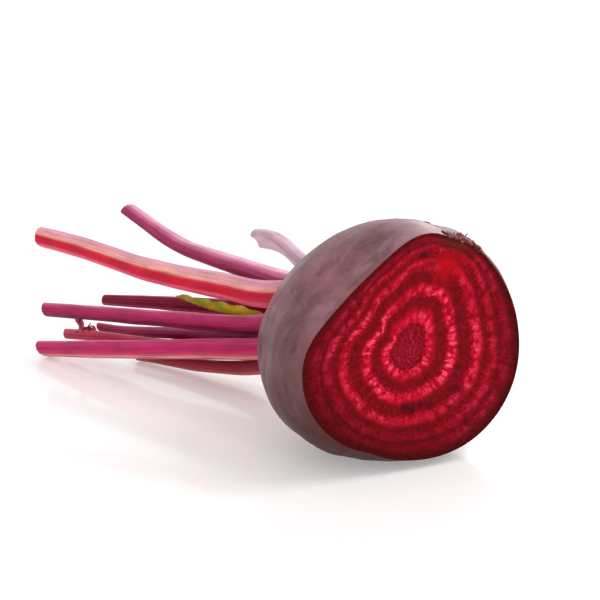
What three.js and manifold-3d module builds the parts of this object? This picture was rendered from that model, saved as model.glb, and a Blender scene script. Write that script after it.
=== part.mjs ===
// A beetroot lying on its side, with a slice cut off its root end and its leaf stalks cut short.
// Millimetres, +Z up. The origin is the middle of the flat spot that the root rests on. +X is the
// way the cut face looks, the leaf stalks run back towards -X, and +Y is the right of the cut face.
import * as THREE from "three";
import { mergeVertices } from "three/addons/utils/BufferGeometryUtils.js";
import Module from "manifold-3d";

const wasm = await Module();
wasm.setup();

const degrees = THREE.MathUtils.degToRad;

// Driving dimensions of the root
const ROOT_RADIUS = 41.5; // at its widest
const ROOT_END = 43; // from the widest section to where the root end would close
const CUT_DISTANCE = 15; // from the widest section to the cut
const SHOULDER_DISTANCE = 22; // from the cut back to where the shoulder's own section holds
const AXIS_TILT = degrees(6.4); // the cut end lies higher than the crown
const REST_DEPTH = 0.9; // how far the underside is pressed flat
const ROOT_SIDES = 54;
const ROOT_ROWS = 27;
const JOINT_GAP = 0.4; // the crown and a stalk's foot stay this far apart

// The crown's half outline, from the middle of the crown out to the widest section: [along the axis, radius]
const CROWN_TOP = -46;
const NECK_RADIUS = 17;
const CROWN_OUTLINE = [
  [CROWN_TOP, 0],
  [-45.6, 8],
  [-43.6, 14],
  [-40.4, NECK_RADIUS],
  [-37.6, 20.8],
  [-33.6, 27.3],
  [-26, 34.2],
  [-14, 39.3],
  [0, ROOT_RADIUS],
];

// The section seen from the cut, with 0 to the right and 90 degrees up. Each is a mean radius with one, two
// and three swellings round it, as shares of the radius, and the angle that a swelling lies at.
const CUT_SECTION = { mean: 0.95, one: 0.087, oneAt: 317, two: 0.04, twoAt: 14, three: 0.037, threeAt: 74 };
const SHOULDER_SECTION = { mean: 0.982, one: 0.05, oneAt: 346, two: 0.066, twoAt: 16, three: 0.019, threeAt: 90 };
const SHOULDER_SHIFT = [0.3, -1.1]; // the shoulder sags a little from the line of the axis
const FLANK_SIDE = degrees(128); // the flattened flank
const FLANK_AT_CUT = 0.703; // its distance from the axis, as a share of the mean radius
const FLANK_AT_SHOULDER = 0.859;
const FLANK_FADE = 0.01; // the share it gains for each millimetre towards the crown
const GROOVE_SIDE = degrees(64); // the row of side roots, with another row opposite
const GROOVE_DEPTH = 0.9;
const GROOVE_WIDTH = degrees(7);

// The growth rings on the cut face, as shares of the way from the middle to the rim
const RING_MIDDLE = [-1.2, -0.8];
const RING_SHARES = [0.2, 0.4, 0.62, 0.77, 0.88];
const RING_HALF_WIDTH = 0.022;
const RING_RELIEF = 0.4; // how far the dark bands between the rings lie below them

// The leaf stalks
const STALK_SIDES = 15;
const STALK_BACK = 9; // how many of those points lie round the ribbed back
const STALK_STEPS = 17;
const STALK_ROOT = 7; // how far a stalk's line starts inside the crown

// Vertex lists become solids, and solids become geometry

function solidFrom(positions, triangles) {
  const geometry = new THREE.BufferGeometry();
  geometry.setAttribute("position", new THREE.Float32BufferAttribute(positions, 3));
  geometry.setIndex(triangles);
  const merged = mergeVertices(geometry, 1e-4);
  const solid = new wasm.Manifold(
    new wasm.Mesh({
      numProp: 3,
      vertProperties: merged.attributes.position.array,
      triVerts: new Uint32Array(merged.index.array),
    }),
  );
  return solid;
}

function geometryFrom(solid) {
  const mesh = solid.getMesh();
  const geometry = new THREE.BufferGeometry();
  const positions = new Float32Array(mesh.numVert * 3);
  for (let i = 0; i < mesh.numVert; i++) {
    positions.set(mesh.vertProperties.subarray(i * mesh.numProp, i * mesh.numProp + 3), i * 3);
  }
  geometry.setAttribute("position", new THREE.BufferAttribute(positions, 3));
  geometry.setIndex(new THREE.BufferAttribute(mesh.triVerts, 1));
  const flat = geometry.toNonIndexed();
  flat.computeVertexNormals();
  return flat;
}

// Joins closed or pole-ended rows of points into one skin. A row of one point is a pole.
function skinOver(rows) {
  const positions = [];
  const starts = [];
  for (const row of rows) {
    starts.push(positions.length / 3);
    row.forEach((p) => positions.push(p.x, p.y, p.z));
  }
  const triangles = [];
  for (let r = 0; r + 1 < rows.length; r++) {
    const here = rows[r].length;
    const next = rows[r + 1].length;
    const sides = Math.max(here, next);
    for (let i = 0; i < sides; i++) {
      const j = (i + 1) % sides;
      const a = starts[r] + (here === 1 ? 0 : i);
      const b = starts[r] + (here === 1 ? 0 : j);
      const c = starts[r + 1] + (next === 1 ? 0 : i);
      const d = starts[r + 1] + (next === 1 ? 0 : j);
      if (here !== 1) triangles.push(a, b, c);
      if (next !== 1) triangles.push(b, d, c);
    }
  }
  return solidFrom(positions, triangles);
}

// A repeatable draw, so that every build gives the same roots and scars
function seededDraw(seed) {
  let state = seed;
  return (low, high) => {
    state = (state * 1664525 + 1013904223) % 4294967296;
    return low + ((high - low) * state) / 4294967296;
  };
}

// The root

function bump(angle, centre, width) {
  const away = Math.atan2(Math.sin(angle - centre), Math.cos(angle - centre));
  return Math.exp(-((away / width) ** 2));
}

function swellings(section, angle) {
  return (
    section.mean +
    section.one * Math.cos(angle - degrees(section.oneAt)) +
    section.two * Math.cos(2 * (angle - degrees(section.twoAt))) +
    section.three * Math.cos(3 * (angle - degrees(section.threeAt)))
  );
}

// 0 at the cut and 1 from the shoulder on, changing fastest at the cut
function shoulderShare(along) {
  const back = THREE.MathUtils.clamp((CUT_DISTANCE - along) / SHOULDER_DISTANCE, 0, 1);
  return back * (2 - back);
}

// 0 over the whole swelling and 1 at the crown
function crownShare(along) {
  return THREE.MathUtils.smoothstep(-along, 24, 42);
}

// How far the section reaches at an angle, where its mean radius is the given one
function sectionRadius(angle, along, mean) {
  const back = shoulderShare(along);
  const swollen = THREE.MathUtils.lerp(swellings(CUT_SECTION, angle), swellings(SHOULDER_SECTION, angle), back);
  const nearCrown = crownShare(along);
  const round = mean * THREE.MathUtils.lerp(swollen, 1, nearCrown);
  const shoulderFlank = FLANK_AT_SHOULDER - FLANK_FADE * along;
  const flankShare = Math.min(1.05, THREE.MathUtils.lerp(FLANK_AT_CUT, shoulderFlank, back));
  const away = Math.atan2(Math.sin(angle - FLANK_SIDE), Math.cos(angle - FLANK_SIDE));
  const chord = Math.abs(away) < degrees(75) ? (mean * flankShare) / Math.cos(away) : 10 * mean;
  const sharp = 14;
  const eased = (round ** -sharp + chord ** -sharp) ** (-1 / sharp);
  const grooves =
    bump(angle, GROOVE_SIDE, GROOVE_WIDTH) + 0.7 * bump(angle, GROOVE_SIDE + Math.PI, GROOVE_WIDTH);
  const grooved = GROOVE_DEPTH * grooves * Math.min(1, mean / ROOT_RADIUS);
  const lumps = 0.3 * Math.sin(3 * angle + 0.11 * along) * Math.sin(0.16 * along + 2 * angle);
  return eased - (grooved - lumps) * (1 - nearCrown);
}

// Ridges where the oldest leaves have dropped off, round the shoulder of the crown
function scarRidges(angle, along) {
  const band = Math.exp(-(((along + 38.5) / 4.5) ** 2));
  const waver = 0.6 * Math.sin(3 * angle + 0.7) + 0.3 * Math.sin(7 * angle);
  return 0.45 * band * Math.cos((2 * Math.PI * (along + waver)) / 3.1);
}

function rootPoint(along, mean, angle, grown) {
  const reach = mean < 1e-6 ? 0 : sectionRadius(angle, along, mean) + scarRidges(angle, along) + grown;
  const shift = shoulderShare(along) * (1 - crownShare(along));
  const across = reach * Math.cos(angle) + shift * SHOULDER_SHIFT[0];
  const up = reach * Math.sin(angle) + shift * SHOULDER_SHIFT[1];
  return new THREE.Vector3(along, across, up);
}

function rootRows(grown) {
  const outline = CROWN_OUTLINE.map(([along, radius]) => new THREE.Vector2(along, radius));
  const crown = new THREE.SplineCurve(outline).getSpacedPoints(ROOT_ROWS - 7);
  const stations = crown.map((p) => [p.x, Math.max(0, p.y)]);
  for (let i = 1; i <= 6; i++) {
    const along = (CUT_DISTANCE * i) / 6;
    stations.push([along, ROOT_RADIUS * Math.sqrt(1 - (along / ROOT_END) ** 2)]);
  }
  return stations.map(([along, mean], row) => {
    if (row === 0) return [rootPoint(along - grown, 0, 0, 0)];
    const points = [];
    for (let i = 0; i < ROOT_SIDES; i++) {
      const angle = (2 * Math.PI * i) / ROOT_SIDES;
      points.push(rootPoint(along - grown * crownShare(along), mean, angle, grown));
    }
    return points;
  });
}

// How far out a growth ring lies at an angle, as a share of the way to the rim. The rings run out to a point
// at each row of side roots and to a blunter corner between them.
function ringReach(share, angle) {
  const freedom = 0.13 * Math.min(1, share / 0.3) * Math.min(1, (1 - share) / 0.24);
  const corners =
    bump(angle, degrees(57), degrees(30)) +
    0.4 * bump(angle, degrees(89), degrees(18)) +
    0.65 * bump(angle, degrees(118), degrees(17)) +
    0.45 * bump(angle, degrees(247), degrees(22));
  return share + freedom * corners;
}

// Rows of the cut face, from just inside the rim to the middle. Each row follows a growth ring.
function cutFaceRows(rim) {
  const levels = [[0.975, 0]];
  for (const share of [...RING_SHARES].reverse()) {
    const above = levels[levels.length - 1][0];
    levels.push([(above + share + RING_HALF_WIDTH) / 2, -RING_RELIEF]);
    levels.push([share + RING_HALF_WIDTH, 0], [share - RING_HALF_WIDTH, 0]);
  }
  levels.push([0.1, -RING_RELIEF], [0, -RING_RELIEF]);
  return levels.map(([share, depth]) => {
    const middle = new THREE.Vector3(CUT_DISTANCE + depth, ...RING_MIDDLE);
    if (share === 0) return [middle];
    return rim.map((edge, i) => {
      const angle = (2 * Math.PI * i) / ROOT_SIDES;
      const point = middle.clone().lerp(edge, ringReach(share, angle));
      point.x = CUT_DISTANCE + depth;
      return point;
    });
  });
}

function rootSkin(grown) {
  const rows = rootRows(grown);
  return skinOver([...rows, ...cutFaceRows(rows[rows.length - 1])]);
}

// A short tapered rootlet or torn fibre from one point to another
function fibre(from, to, thick, blunt) {
  const length = from.distanceTo(to);
  const cone = new THREE.CylinderGeometry(thick * blunt, thick, length, 5, 1);
  cone.deleteAttribute("normal");
  cone.deleteAttribute("uv");
  const turn = new THREE.Quaternion().setFromUnitVectors(
    new THREE.Vector3(0, 1, 0),
    to.clone().sub(from).normalize(),
  );
  cone.applyQuaternion(turn);
  const middle = from.clone().add(to).multiplyScalar(0.5);
  cone.translate(middle.x, middle.y, middle.z);
  return solidFrom([...cone.attributes.position.array], [...cone.index.array]);
}

function meanRadiusAt(along) {
  return ROOT_RADIUS * Math.sqrt(1 - (along / ROOT_END) ** 2);
}

// The torn scar of a side root on the rim of the cut, and the smaller scars behind it along the same row
function rootScars() {
  const draw = seededDraw(7);
  const pieces = [];
  const place = (angle, along, tall, thick, lean, blunt = 0.6) => {
    const foot = rootPoint(along, meanRadiusAt(along), angle, -1.2);
    const tip = rootPoint(along + lean, meanRadiusAt(along), angle + draw(-0.02, 0.02), tall);
    pieces.push(fibre(foot, tip, thick, blunt));
  };
  for (let i = 0; i < 16; i++) {
    const angle = degrees(47 + i * 1.75 + draw(-0.8, 0.8));
    place(angle, CUT_DISTANCE - draw(2.4, 5), draw(0.2, 1), draw(1.1, 1.9), draw(-0.6, 0.2));
  }
  for (const [angle, along] of [[74, 8], [75, 2.5], [72, -6], [68, -15], [66, -24], [244, 4], [246, -9], [243, -20]]) {
    place(degrees(angle + draw(-1.5, 1.5)), along, draw(0.1, 0.5), draw(1, 1.5), -0.6);
  }
  place(degrees(62), CUT_DISTANCE - 3.2, 2, 0.7, -1.2, 0.5);
  place(degrees(56), CUT_DISTANCE - 4, 1.5, 0.7, -1.6, 0.5);
  return pieces;
}

// Stumps of older leaves that were pulled off, round the neck on the side away from the stalks
function leafStumps(grown) {
  const draw = seededDraw(31);
  return [350, 318, 8, 62, 295].map((side) => {
    const angle = degrees(side);
    const out = new THREE.Vector3(0, Math.cos(angle), Math.sin(angle));
    const foot = out.clone().multiplyScalar(12.5).setX(-39);
    const tip = out.clone().multiplyScalar(draw(14.5, 16)).setX(CROWN_TOP - draw(0.5, 3) - grown);
    const path = new THREE.LineCurve3(foot, tip);
    const middle = out.clone().negate();
    const width = { foot: draw(8, 10) + 5 * grown, tip: draw(7, 8.5) + 5 * grown };
    return stalkSolid(path, width, middle, 0.15, 3);
  });
}

function rootSolid(grown) {
  let root = rootSkin(grown);
  for (const piece of [...rootScars(), ...leafStumps(grown)]) root = root.add(piece);
  return root;
}

// The leaf stalks

// Half of a stalk's section is a ribbed back, the other half the shallow channel that faces the bunch
function stalkSection(width, thick) {
  const points = [];
  for (let i = 0; i < STALK_SIDES; i++) {
    if (i < STALK_BACK) {
      const angle = Math.PI + (Math.PI * i) / (STALK_BACK - 1);
      const rib = i === 0 || i === STALK_BACK - 1 ? 1 : i % 2 ? 0.93 : 1.03;
      points.push([0.5 * width * Math.cos(angle) * rib, 0.62 * thick * Math.sin(angle) * rib]);
    } else {
      const across = 1 - (2 * (i - STALK_BACK + 1)) / (STALK_SIDES - STALK_BACK + 1);
      const lip = 0.38 * thick * (1 - across ** 6) * (0.45 + 0.75 * across ** 2);
      points.push([0.5 * width * across * 0.96, lip]);
    }
  }
  return points;
}

// Sweeps the section along a curve, with its channel kept towards the given side
function stalkSolid(path, width, channelSide, slant, steps) {
  const rows = [];
  for (let s = 0; s <= steps; s++) {
    const share = s / steps;
    const centre = path.getPointAt(share);
    const ahead = path.getTangentAt(share);
    const channel = channelSide.clone().addScaledVector(ahead, -channelSide.dot(ahead)).normalize();
    const across = new THREE.Vector3().crossVectors(channel, ahead);
    const eased = share ** 0.8;
    const wide = THREE.MathUtils.lerp(width.foot, width.tip, eased);
    const thick = wide * THREE.MathUtils.lerp(0.6, 0.74, eased);
    const endSlant = s === steps ? slant : 0;
    rows.push(
      stalkSection(wide, thick).map(([u, v]) =>
        centre.clone().addScaledVector(across, u).addScaledVector(channel, v).addScaledVector(ahead, u * endSlant),
      ),
    );
  }
  return closedSweep(rows);
}

// A sweep of open rows, capped at both ends by triangles across the section
function closedSweep(rows) {
  const sides = rows[0].length;
  const positions = rows.flat().flatMap((p) => [p.x, p.y, p.z]);
  const triangles = [];
  for (let r = 0; r + 1 < rows.length; r++) {
    for (let i = 0; i < sides; i++) {
      const j = (i + 1) % sides;
      const [a, b, c, d] = [r * sides + i, r * sides + j, (r + 1) * sides + i, (r + 1) * sides + j];
      triangles.push(a, b, c, b, d, c);
    }
  }
  for (const [row, start, turned] of [[rows[0], 0, true], [rows[rows.length - 1], (rows.length - 1) * sides, false]]) {
    const normal = new THREE.Vector3();
    row.forEach((p, i) => normal.add(new THREE.Vector3().crossVectors(p, row[(i + 1) % sides])));
    normal.normalize();
    const right = new THREE.Vector3().crossVectors(normal, new THREE.Vector3(0.3, 0.2, 0.93)).normalize();
    const up = new THREE.Vector3().crossVectors(normal, right);
    const outline = row.map((p) => new THREE.Vector2(p.dot(right), p.dot(up)));
    for (const [a, b, c] of THREE.ShapeUtils.triangulateShape(outline, [])) {
      const face = [start + a, start + b, start + c];
      triangles.push(...(turned ? face.reverse() : face));
    }
  }
  return solidFrom(positions, triangles);
}

// Each stalk: where its foot sits on the crown [right, up], the points its middle line runs through, its width
// at the foot and at the cut tip, the side its channel faces, and how far its cut tip slants
const STALKS = [
  {
    name: "stalk_1_upper_near",
    foot: [-9.9, 7.8],
    through: [[-60.5, -17, 38.6], [-74, -25.2, 38.8], [-102, -42.1, 39.3], [-134, -61.2, 43.2], [-149.4, -70.7, 44.3]],
    width: { foot: 10.3, tip: 7.8 },
    channel: [0.1, 0.95, -0.1],
    slant: 0.1,
    colour: "#c22a4c",
  },
  {
    name: "stalk_2_upper_far",
    foot: [-0.6, 10.3],
    through: [[-60, -6.2, 41.4], [-77.4, -14.5, 42.5], [-95, -22.6, 43.9], [-110, -29.4, 46], [-134, -40.6, 55.1]],
    width: { foot: 9.6, tip: 5.6 },
    channel: [0, 0.5, -0.87],
    slant: -0.35,
    colour: "#9b2758",
  },
  {
    name: "stalk_3_back",
    foot: [10.7, 4.6],
    through: [[-64, 10.6, 37.7], [-90, 10.6, 39.4], [-104, 11.1, 41.3], [-116, 11.8, 40.9], [-133.2, 13, 37.8]],
    width: { foot: 10, tip: 8.6 },
    channel: [0, -0.8, -0.6],
    slant: 0.2,
    colour: "#a23a68",
  },
  {
    name: "stalk_4_middle_near",
    foot: [-13.6, -1],
    through: [[-60.6, -19.9, 27.9], [-90.5, -39.4, 23.8], [-120, -58.9, 20.3], [-141, -72.3, 17.7]],
    width: { foot: 7.8, tip: 5.7 },
    channel: [0, 0.9, 0.3],
    slant: 0.1,
    colour: "#972659",
  },
  {
    name: "stalk_5_middle_far",
    foot: [-2.6, 2.4],
    through: [[-64.6, -9.4, 29.8], [-79, -17.2, 28], [-104.6, -33.2, 24.9], [-134.4, -51, 20.5]],
    width: { foot: 9.2, tip: 4.2 },
    channel: [0.3, 0.9, 0.1],
    slant: -0.15,
    colour: "#6a0f35",
  },
  {
    name: "stalk_6_low_far",
    foot: [-5.4, -4],
    through: [[-60, -13.4, 23.2], [-68, -18, 21], [-89, -29.6, 17.3], [-124, -48, 10.8], [-134, -53.6, 10]],
    width: { foot: 7.6, tip: 3.4 },
    channel: [0.2, 0.9, 0.2],
    slant: 0.3,
    colour: "#64102f",
  },
  {
    name: "stalk_7_low_near",
    foot: [-11.4, -10.4],
    through: [[-59.2, -20.4, 19.5], [-80, -36.9, 15.6], [-99, -51.1, 11.5], [-138.2, -74.8, 3.15]],
    width: { foot: 10.6, tip: 6.8 },
    channel: [0, 0.8, 0.55],
    slant: 0.45,
    colour: "#b32a5c",
  },
  {
    name: "stalk_8_under",
    foot: [-1, -12.6],
    through: [[-60, -7.6, 12.6], [-73, -14.8, 7.8], [-89.5, -26.2, 4.7], [-104, -35.2, 3.3], [-117.5, -43.8, 2.5]],
    width: { foot: 11.2, tip: 5 },
    channel: [-0.1, 0.5, 0.86],
    slant: 0.1,
    colour: "#92304a",
  },
  {
    name: "stalk_9_low_middle",
    foot: [2.2, -6.2],
    through: [[-60, -7.2, 18.6], [-70, -15.4, 15.7], [-80, -24, 13.7], [-100, -40, 11.7], [-127, -57, 9.2], [-140.6, -64.8, 7.1]],
    width: { foot: 7, tip: 4.8 },
    channel: [0, 0.7, 0.7],
    slant: -0.2,
    colour: "#b0405a",
  },
];

// The young leaf between the stalks: a thin folded blade with a waved edge on a slim stalk
const YOUNG_LEAF = {
  foot: [-9.6, 1.4],
  through: [[-55.2, -15, 30.8], [-67, -21.3, 28.9], [-77, -26.9, 28.7], [-87, -31.9, 29.4], [-94.7, -36.1, 30.8]],
  halfWidth: 3.3,
  thick: 0.9,
  fold: degrees(38),
};

// The crown's own frame, laid over by the tilt of the root's axis
const root = new THREE.Group();
root.name = "root";
const tilted = new THREE.Matrix4().makeRotationY(-AXIS_TILT);

function lowestOf(solid) {
  return solid.boundingBox().min[2];
}

function placed(solid, matrix) {
  return solid.transform(matrix.elements);
}

const levelRoot = placed(rootSolid(0), tilted);
const axisHeight = -lowestOf(placed(rootSkin(0), tilted)) - REST_DEPTH;
const place = new THREE.Matrix4().makeTranslation(0, 0, axisHeight).multiply(tilted);

function crownPoint([right, up], along) {
  return new THREE.Vector3(along, right, up).applyMatrix4(place);
}

function stalkPath(stalk) {
  const foot = crownPoint(stalk.foot, CROWN_TOP + STALK_ROOT);
  const leaving = crownPoint(stalk.foot, CROWN_TOP - 2.5);
  const points = stalk.through.map((p) => new THREE.Vector3(...p));
  return new THREE.CatmullRomCurve3([foot, leaving, ...points], false, "centripetal");
}

function youngLeafSolid(path) {
  const steps = 21;
  const half = 4;
  const rows = [];
  const hint = new THREE.Vector3(0.25, 0.75, 0.6);
  for (let s = 0; s <= steps; s++) {
    const share = s / steps;
    const centre = path.getPointAt(share);
    const ahead = path.getTangentAt(share);
    const channel = hint.clone().addScaledVector(ahead, -hint.dot(ahead)).normalize();
    const across = new THREE.Vector3().crossVectors(channel, ahead);
    const blade = THREE.MathUtils.clamp((share - 0.34) / 0.66, 0, 1);
    const wide = 0.9 + YOUNG_LEAF.halfWidth * Math.sin(Math.PI * blade ** 0.8) ** 0.8;
    const tipped = share > 0.98 ? 0.35 : 1;
    const upper = [];
    const lower = [];
    for (let i = -half; i <= half; i++) {
      const out = (i / half) * wide * tipped;
      const wave = Math.abs(i) === half && blade > 0 ? 0.35 * Math.sin(share * 46 + i) : 0;
      const lift = Math.abs(out) * Math.sin(YOUNG_LEAF.fold) + wave;
      const thick = YOUNG_LEAF.thick * (i === 0 ? 1.5 : 1);
      const u = out * Math.cos(YOUNG_LEAF.fold);
      upper.unshift([u, lift + thick / 2]);
      lower.push([u, lift - thick / 2]);
    }
    rows.push(
      [...lower, ...upper].map(([u, v]) => centre.clone().addScaledVector(across, u).addScaledVector(channel, v)),
    );
  }
  return closedSweep(rows);
}

// Put the pieces together

function addPiece(name, solid, colour, roughness) {
  const material = new THREE.MeshStandardMaterial({ color: colour, roughness, metalness: 0 });
  const mesh = new THREE.Mesh(geometryFrom(solid), material);
  mesh.name = name;
  root.add(mesh);
}

const floorSlab = new THREE.BoxGeometry(400, 400, 60).translate(0, 0, -30);
floorSlab.deleteAttribute("normal");
floorSlab.deleteAttribute("uv");
const ground = solidFrom([...floorSlab.attributes.position.array], [...floorSlab.index.array]);

const beet = levelRoot.translate([0, 0, axisHeight]).subtract(ground);
const beetGrown = placed(rootSolid(JOINT_GAP), place);
addPiece("beet_root", beet, "#8a5960", 0.62);

for (const stalk of STALKS) {
  const path = stalkPath(stalk);
  const solid = stalkSolid(path, stalk.width, new THREE.Vector3(...stalk.channel), stalk.slant, STALK_STEPS);
  addPiece(stalk.name, solid.subtract(beetGrown).subtract(ground), stalk.colour, 0.4);
}

const leaf = youngLeafSolid(stalkPath(YOUNG_LEAF));
addPiece("young_leaf", leaf.subtract(beetGrown), "#86911c", 0.5);

export default root;
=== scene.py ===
"""Dresses a beetroot that lies on its side, with a slice cut off its root end and its leaf stalks cut short.

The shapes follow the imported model, in the same frame: +X is the way the cut face looks, +Y is to its right,
+Z is up and the origin is the middle of the flat spot that the root rests on. Sizes are in millimetres
until a mesh is placed, which turns them into metres.
"""

import math
import random
from bisect import bisect_left

import bmesh
import bpy
from bpy.props import FloatProperty, FloatVectorProperty, IntProperty, PointerProperty
from mathutils import Matrix, Vector, noise


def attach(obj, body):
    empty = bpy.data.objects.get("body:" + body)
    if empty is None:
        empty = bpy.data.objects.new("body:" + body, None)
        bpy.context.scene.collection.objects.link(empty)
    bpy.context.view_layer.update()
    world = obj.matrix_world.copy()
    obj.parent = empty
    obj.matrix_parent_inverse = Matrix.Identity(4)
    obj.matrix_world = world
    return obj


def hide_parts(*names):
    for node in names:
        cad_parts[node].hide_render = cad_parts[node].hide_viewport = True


bl_info = {
    "name": "Beetroot",
    "version": (1, 0, 0),
    "blender": (4, 5, 0),
    "location": "3D View > Sidebar > Beetroot",
    "description": "Builds a cut beetroot with short leaf stalks on a pale floor",
    "category": "Object",
}

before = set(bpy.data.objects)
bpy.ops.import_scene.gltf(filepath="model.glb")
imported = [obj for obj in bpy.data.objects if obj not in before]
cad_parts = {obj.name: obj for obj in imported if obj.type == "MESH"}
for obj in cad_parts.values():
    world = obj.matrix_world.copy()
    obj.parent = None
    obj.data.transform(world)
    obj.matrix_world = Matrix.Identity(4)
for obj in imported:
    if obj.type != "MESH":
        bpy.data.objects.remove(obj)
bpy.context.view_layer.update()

MM = 0.001
BODY = "root"

# How much of its own colour a surface sends back in the studio, and the pale haze of shine that lies over it
STUDIO_LIGHT = 1.12
STUDIO_HAZE = 0.012
STALK_LIGHT = 0.78

# The root, in millimetres: its radius, where it would end in front, the cut, and the length of its shoulder
ROOT_RADIUS = 41.5
ROOT_END = 43.0
CUT_DISTANCE = 15.0
SHOULDER_DISTANCE = 22.0
AXIS_TILT = math.radians(6.4)
AXIS_HEIGHT = 38.26
CROWN_TOP = -46.0
CROWN_OUTLINE = [
    (-46.0, 0.0), (-45.6, 8.0), (-43.6, 14.0), (-40.4, 17.0), (-37.6, 20.8), (-33.6, 27.3),
    (-26.0, 34.2), (-14.0, 39.3),
    (0.0, ROOT_RADIUS),
]
CROWN_STEPS = 400
FRONT_STEPS = 60

# Between these distances behind the middle, the section turns from the root's own into a round one
CROWN_FROM = 24.0
CROWN_FULL = 42.0

# The section seen from the cut: a mean radius with one, two and three swellings round it
CUT_SECTION = {"mean": 0.95, "swellings": [(1, 0.087, 317), (2, 0.04, 14), (3, 0.037, 74)]}
SHOULDER_SECTION = {"mean": 0.982, "swellings": [(1, 0.05, 346), (2, 0.066, 16), (3, 0.019, 90)]}
SHOULDER_SHIFT = (0.3, -1.1)

# One side of the root is flattened: where it is, its share of the radius, and how softly it joins the rest
FLANK_SIDE = math.radians(128)
FLANK_AT_CUT = 0.703
FLANK_AT_SHOULDER = 0.859
FLANK_FADE = 0.01
FLANK_LIMIT = 1.05
FLANK_REACH = math.radians(75)
FLANK_EASE = 14
BEYOND_FLANK = 10.0

# The two grooves that side roots grow from, on opposite sides, and the low swellings of the skin
GROOVE_SIDE = math.radians(64)
GROOVE_DEPTH = 0.9
GROOVE_WIDTH = math.radians(7)
OTHER_GROOVE = 0.7
SWELLING_HEIGHT = 0.3

# The corky ridges of the shoulder: where they lie, how far they spread, their height and their distance
RIDGES_AT = -38.5
RIDGES_SPREAD = 4.5
RIDGE_HEIGHT = 0.45
RIDGE_GAP = 3.1

# The growth rings on the cut face, as shares of the way from the middle to the rim
RING_MIDDLE = (-1.2, -0.8)
RING_SHARES = [0.2, 0.4, 0.62, 0.77, 0.88]
RING_BRIGHTNESS = [1.0, 1.0, 0.8, 0.42, 0.24]
RING_WARMTH = [0.8, 0.8, 0.65, 0.4, 0.22]
RING_HALF_WIDTH = 0.045

# The rings bulge towards some sides of the root: the side, the width and the size of each bulge
RING_CORNERS = [(57, 30, 1.0), (89, 18, 0.4), (118, 17, 0.65), (247, 22, 0.45)]
CORNER_SIZE = 0.13
CORNER_FROM = 0.3
CORNER_UNTIL = 0.24

# Where the flesh glows brighter towards the scar, and where it darkens: the side and its width
GLOW = (math.radians(59), math.radians(8))
GLOOM = (math.radians(240), math.radians(66))
GLOOM_STRENGTH = 0.75

# Small dark flecks in the flesh: the side, the ring coordinate and the size of each
FLECKS = [
    (264, 0.5, 0.03), (272, 0.53, 0.035), (281, 0.5, 0.03), (290, 0.54, 0.03), (300, 0.31, 0.02),
    (304, 0.63, 0.028), (312, 0.66, 0.022), (316, 0.57, 0.04), (333, 0.48, 0.022), (78, 0.7, 0.04),
    (70, 0.62, 0.03),
]
FLECK_STRENGTH = 0.9

# The torn scar of a side root on the rim
SCAR_SIDE = math.radians(55)
SCAR_ON_FACE = math.radians(59)
SCAR_WIDTH = math.radians(9)

# Small dark marks on the skin: the side and the distance along the root, then their strength and size
SKIN_MARKS = [(65, 7.0), (69, 6.2), (61, 9.4), (244, 4.0), (71, -7.0)]
MARK_STRENGTH = 1.4
MARK_ANGLE = math.radians(2.4)
MARK_LENGTH = 1.4

# The side of the skin near the cut where the light glances off, with a painted highlight over it, and the
# side by the rim towards the right, where shade is painted dark maroon
SHEEN_AND_PAINTED_HIGHLIGHT = (math.radians(76), math.radians(13))
PAINTED_FAR_RIM_SHADE = (math.radians(8), math.radians(34))

# How the skin is roughened: how close its fine and its coarse lumps lie, and how high the coarse ones are
FINE_LUMPS = 0.16
COARSE_LUMPS = 0.07
COARSE_HEIGHT = 0.25


def clamped(value):
    return min(1.0, max(0.0, value))


def smooth_share(value, low, high):
    """0 below low, 1 above high, with a soft turn at both ends."""
    share = clamped((value - low) / (high - low))
    return share * share * (3.0 - 2.0 * share)


def mix(first, second, share):
    return first + (second - first) * share


def turn_between(angle, centre):
    """The signed turn from centre to angle, within half a turn."""
    return math.atan2(math.sin(angle - centre), math.cos(angle - centre))


def bump(angle, centre, width):
    return math.exp(-((turn_between(angle, centre) / width) ** 2))


def swell(section, angle):
    total = section["mean"]
    for count, size, side in section["swellings"]:
        total += size * math.cos(count * (angle - math.radians(side)))
    return total


def shoulder_share(along):
    back = clamped((CUT_DISTANCE - along) / SHOULDER_DISTANCE)
    return back * (2.0 - back)


def crown_share(along):
    return smooth_share(-along, CROWN_FROM, CROWN_FULL)


def section_radius(angle, along, mean):
    """How far the root's section reaches at an angle, where its mean radius is the given one."""
    back = shoulder_share(along)
    near_crown = crown_share(along)
    swollen = mix(swell(CUT_SECTION, angle), swell(SHOULDER_SECTION, angle), back)
    rounded = mean * mix(swollen, 1.0, near_crown)
    flank = min(FLANK_LIMIT, mix(FLANK_AT_CUT, FLANK_AT_SHOULDER - FLANK_FADE * along, back))
    away = turn_between(angle, FLANK_SIDE)
    chord = mean * flank / math.cos(away) if abs(away) < FLANK_REACH else BEYOND_FLANK * mean
    eased = (rounded**-FLANK_EASE + chord**-FLANK_EASE) ** (-1.0 / FLANK_EASE)
    grooves = bump(angle, GROOVE_SIDE, GROOVE_WIDTH)
    grooves += OTHER_GROOVE * bump(angle, GROOVE_SIDE + math.pi, GROOVE_WIDTH)
    grooved = GROOVE_DEPTH * grooves * min(1.0, mean / ROOT_RADIUS)
    swellings = SWELLING_HEIGHT * math.sin(3 * angle + 0.11 * along) * math.sin(0.16 * along + 2 * angle)
    return eased - (grooved - swellings) * (1.0 - near_crown)


def crown_ridges(angle, along):
    """Corky ridges where the oldest leaves dropped off, round the shoulder of the crown."""
    band = math.exp(-(((along - RIDGES_AT) / RIDGES_SPREAD) ** 2))
    waver = 0.6 * math.sin(3 * angle + 0.7) + 0.3 * math.sin(7 * angle)
    return RIDGE_HEIGHT * band * math.cos(2.0 * math.pi * (along + waver) / RIDGE_GAP)


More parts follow.
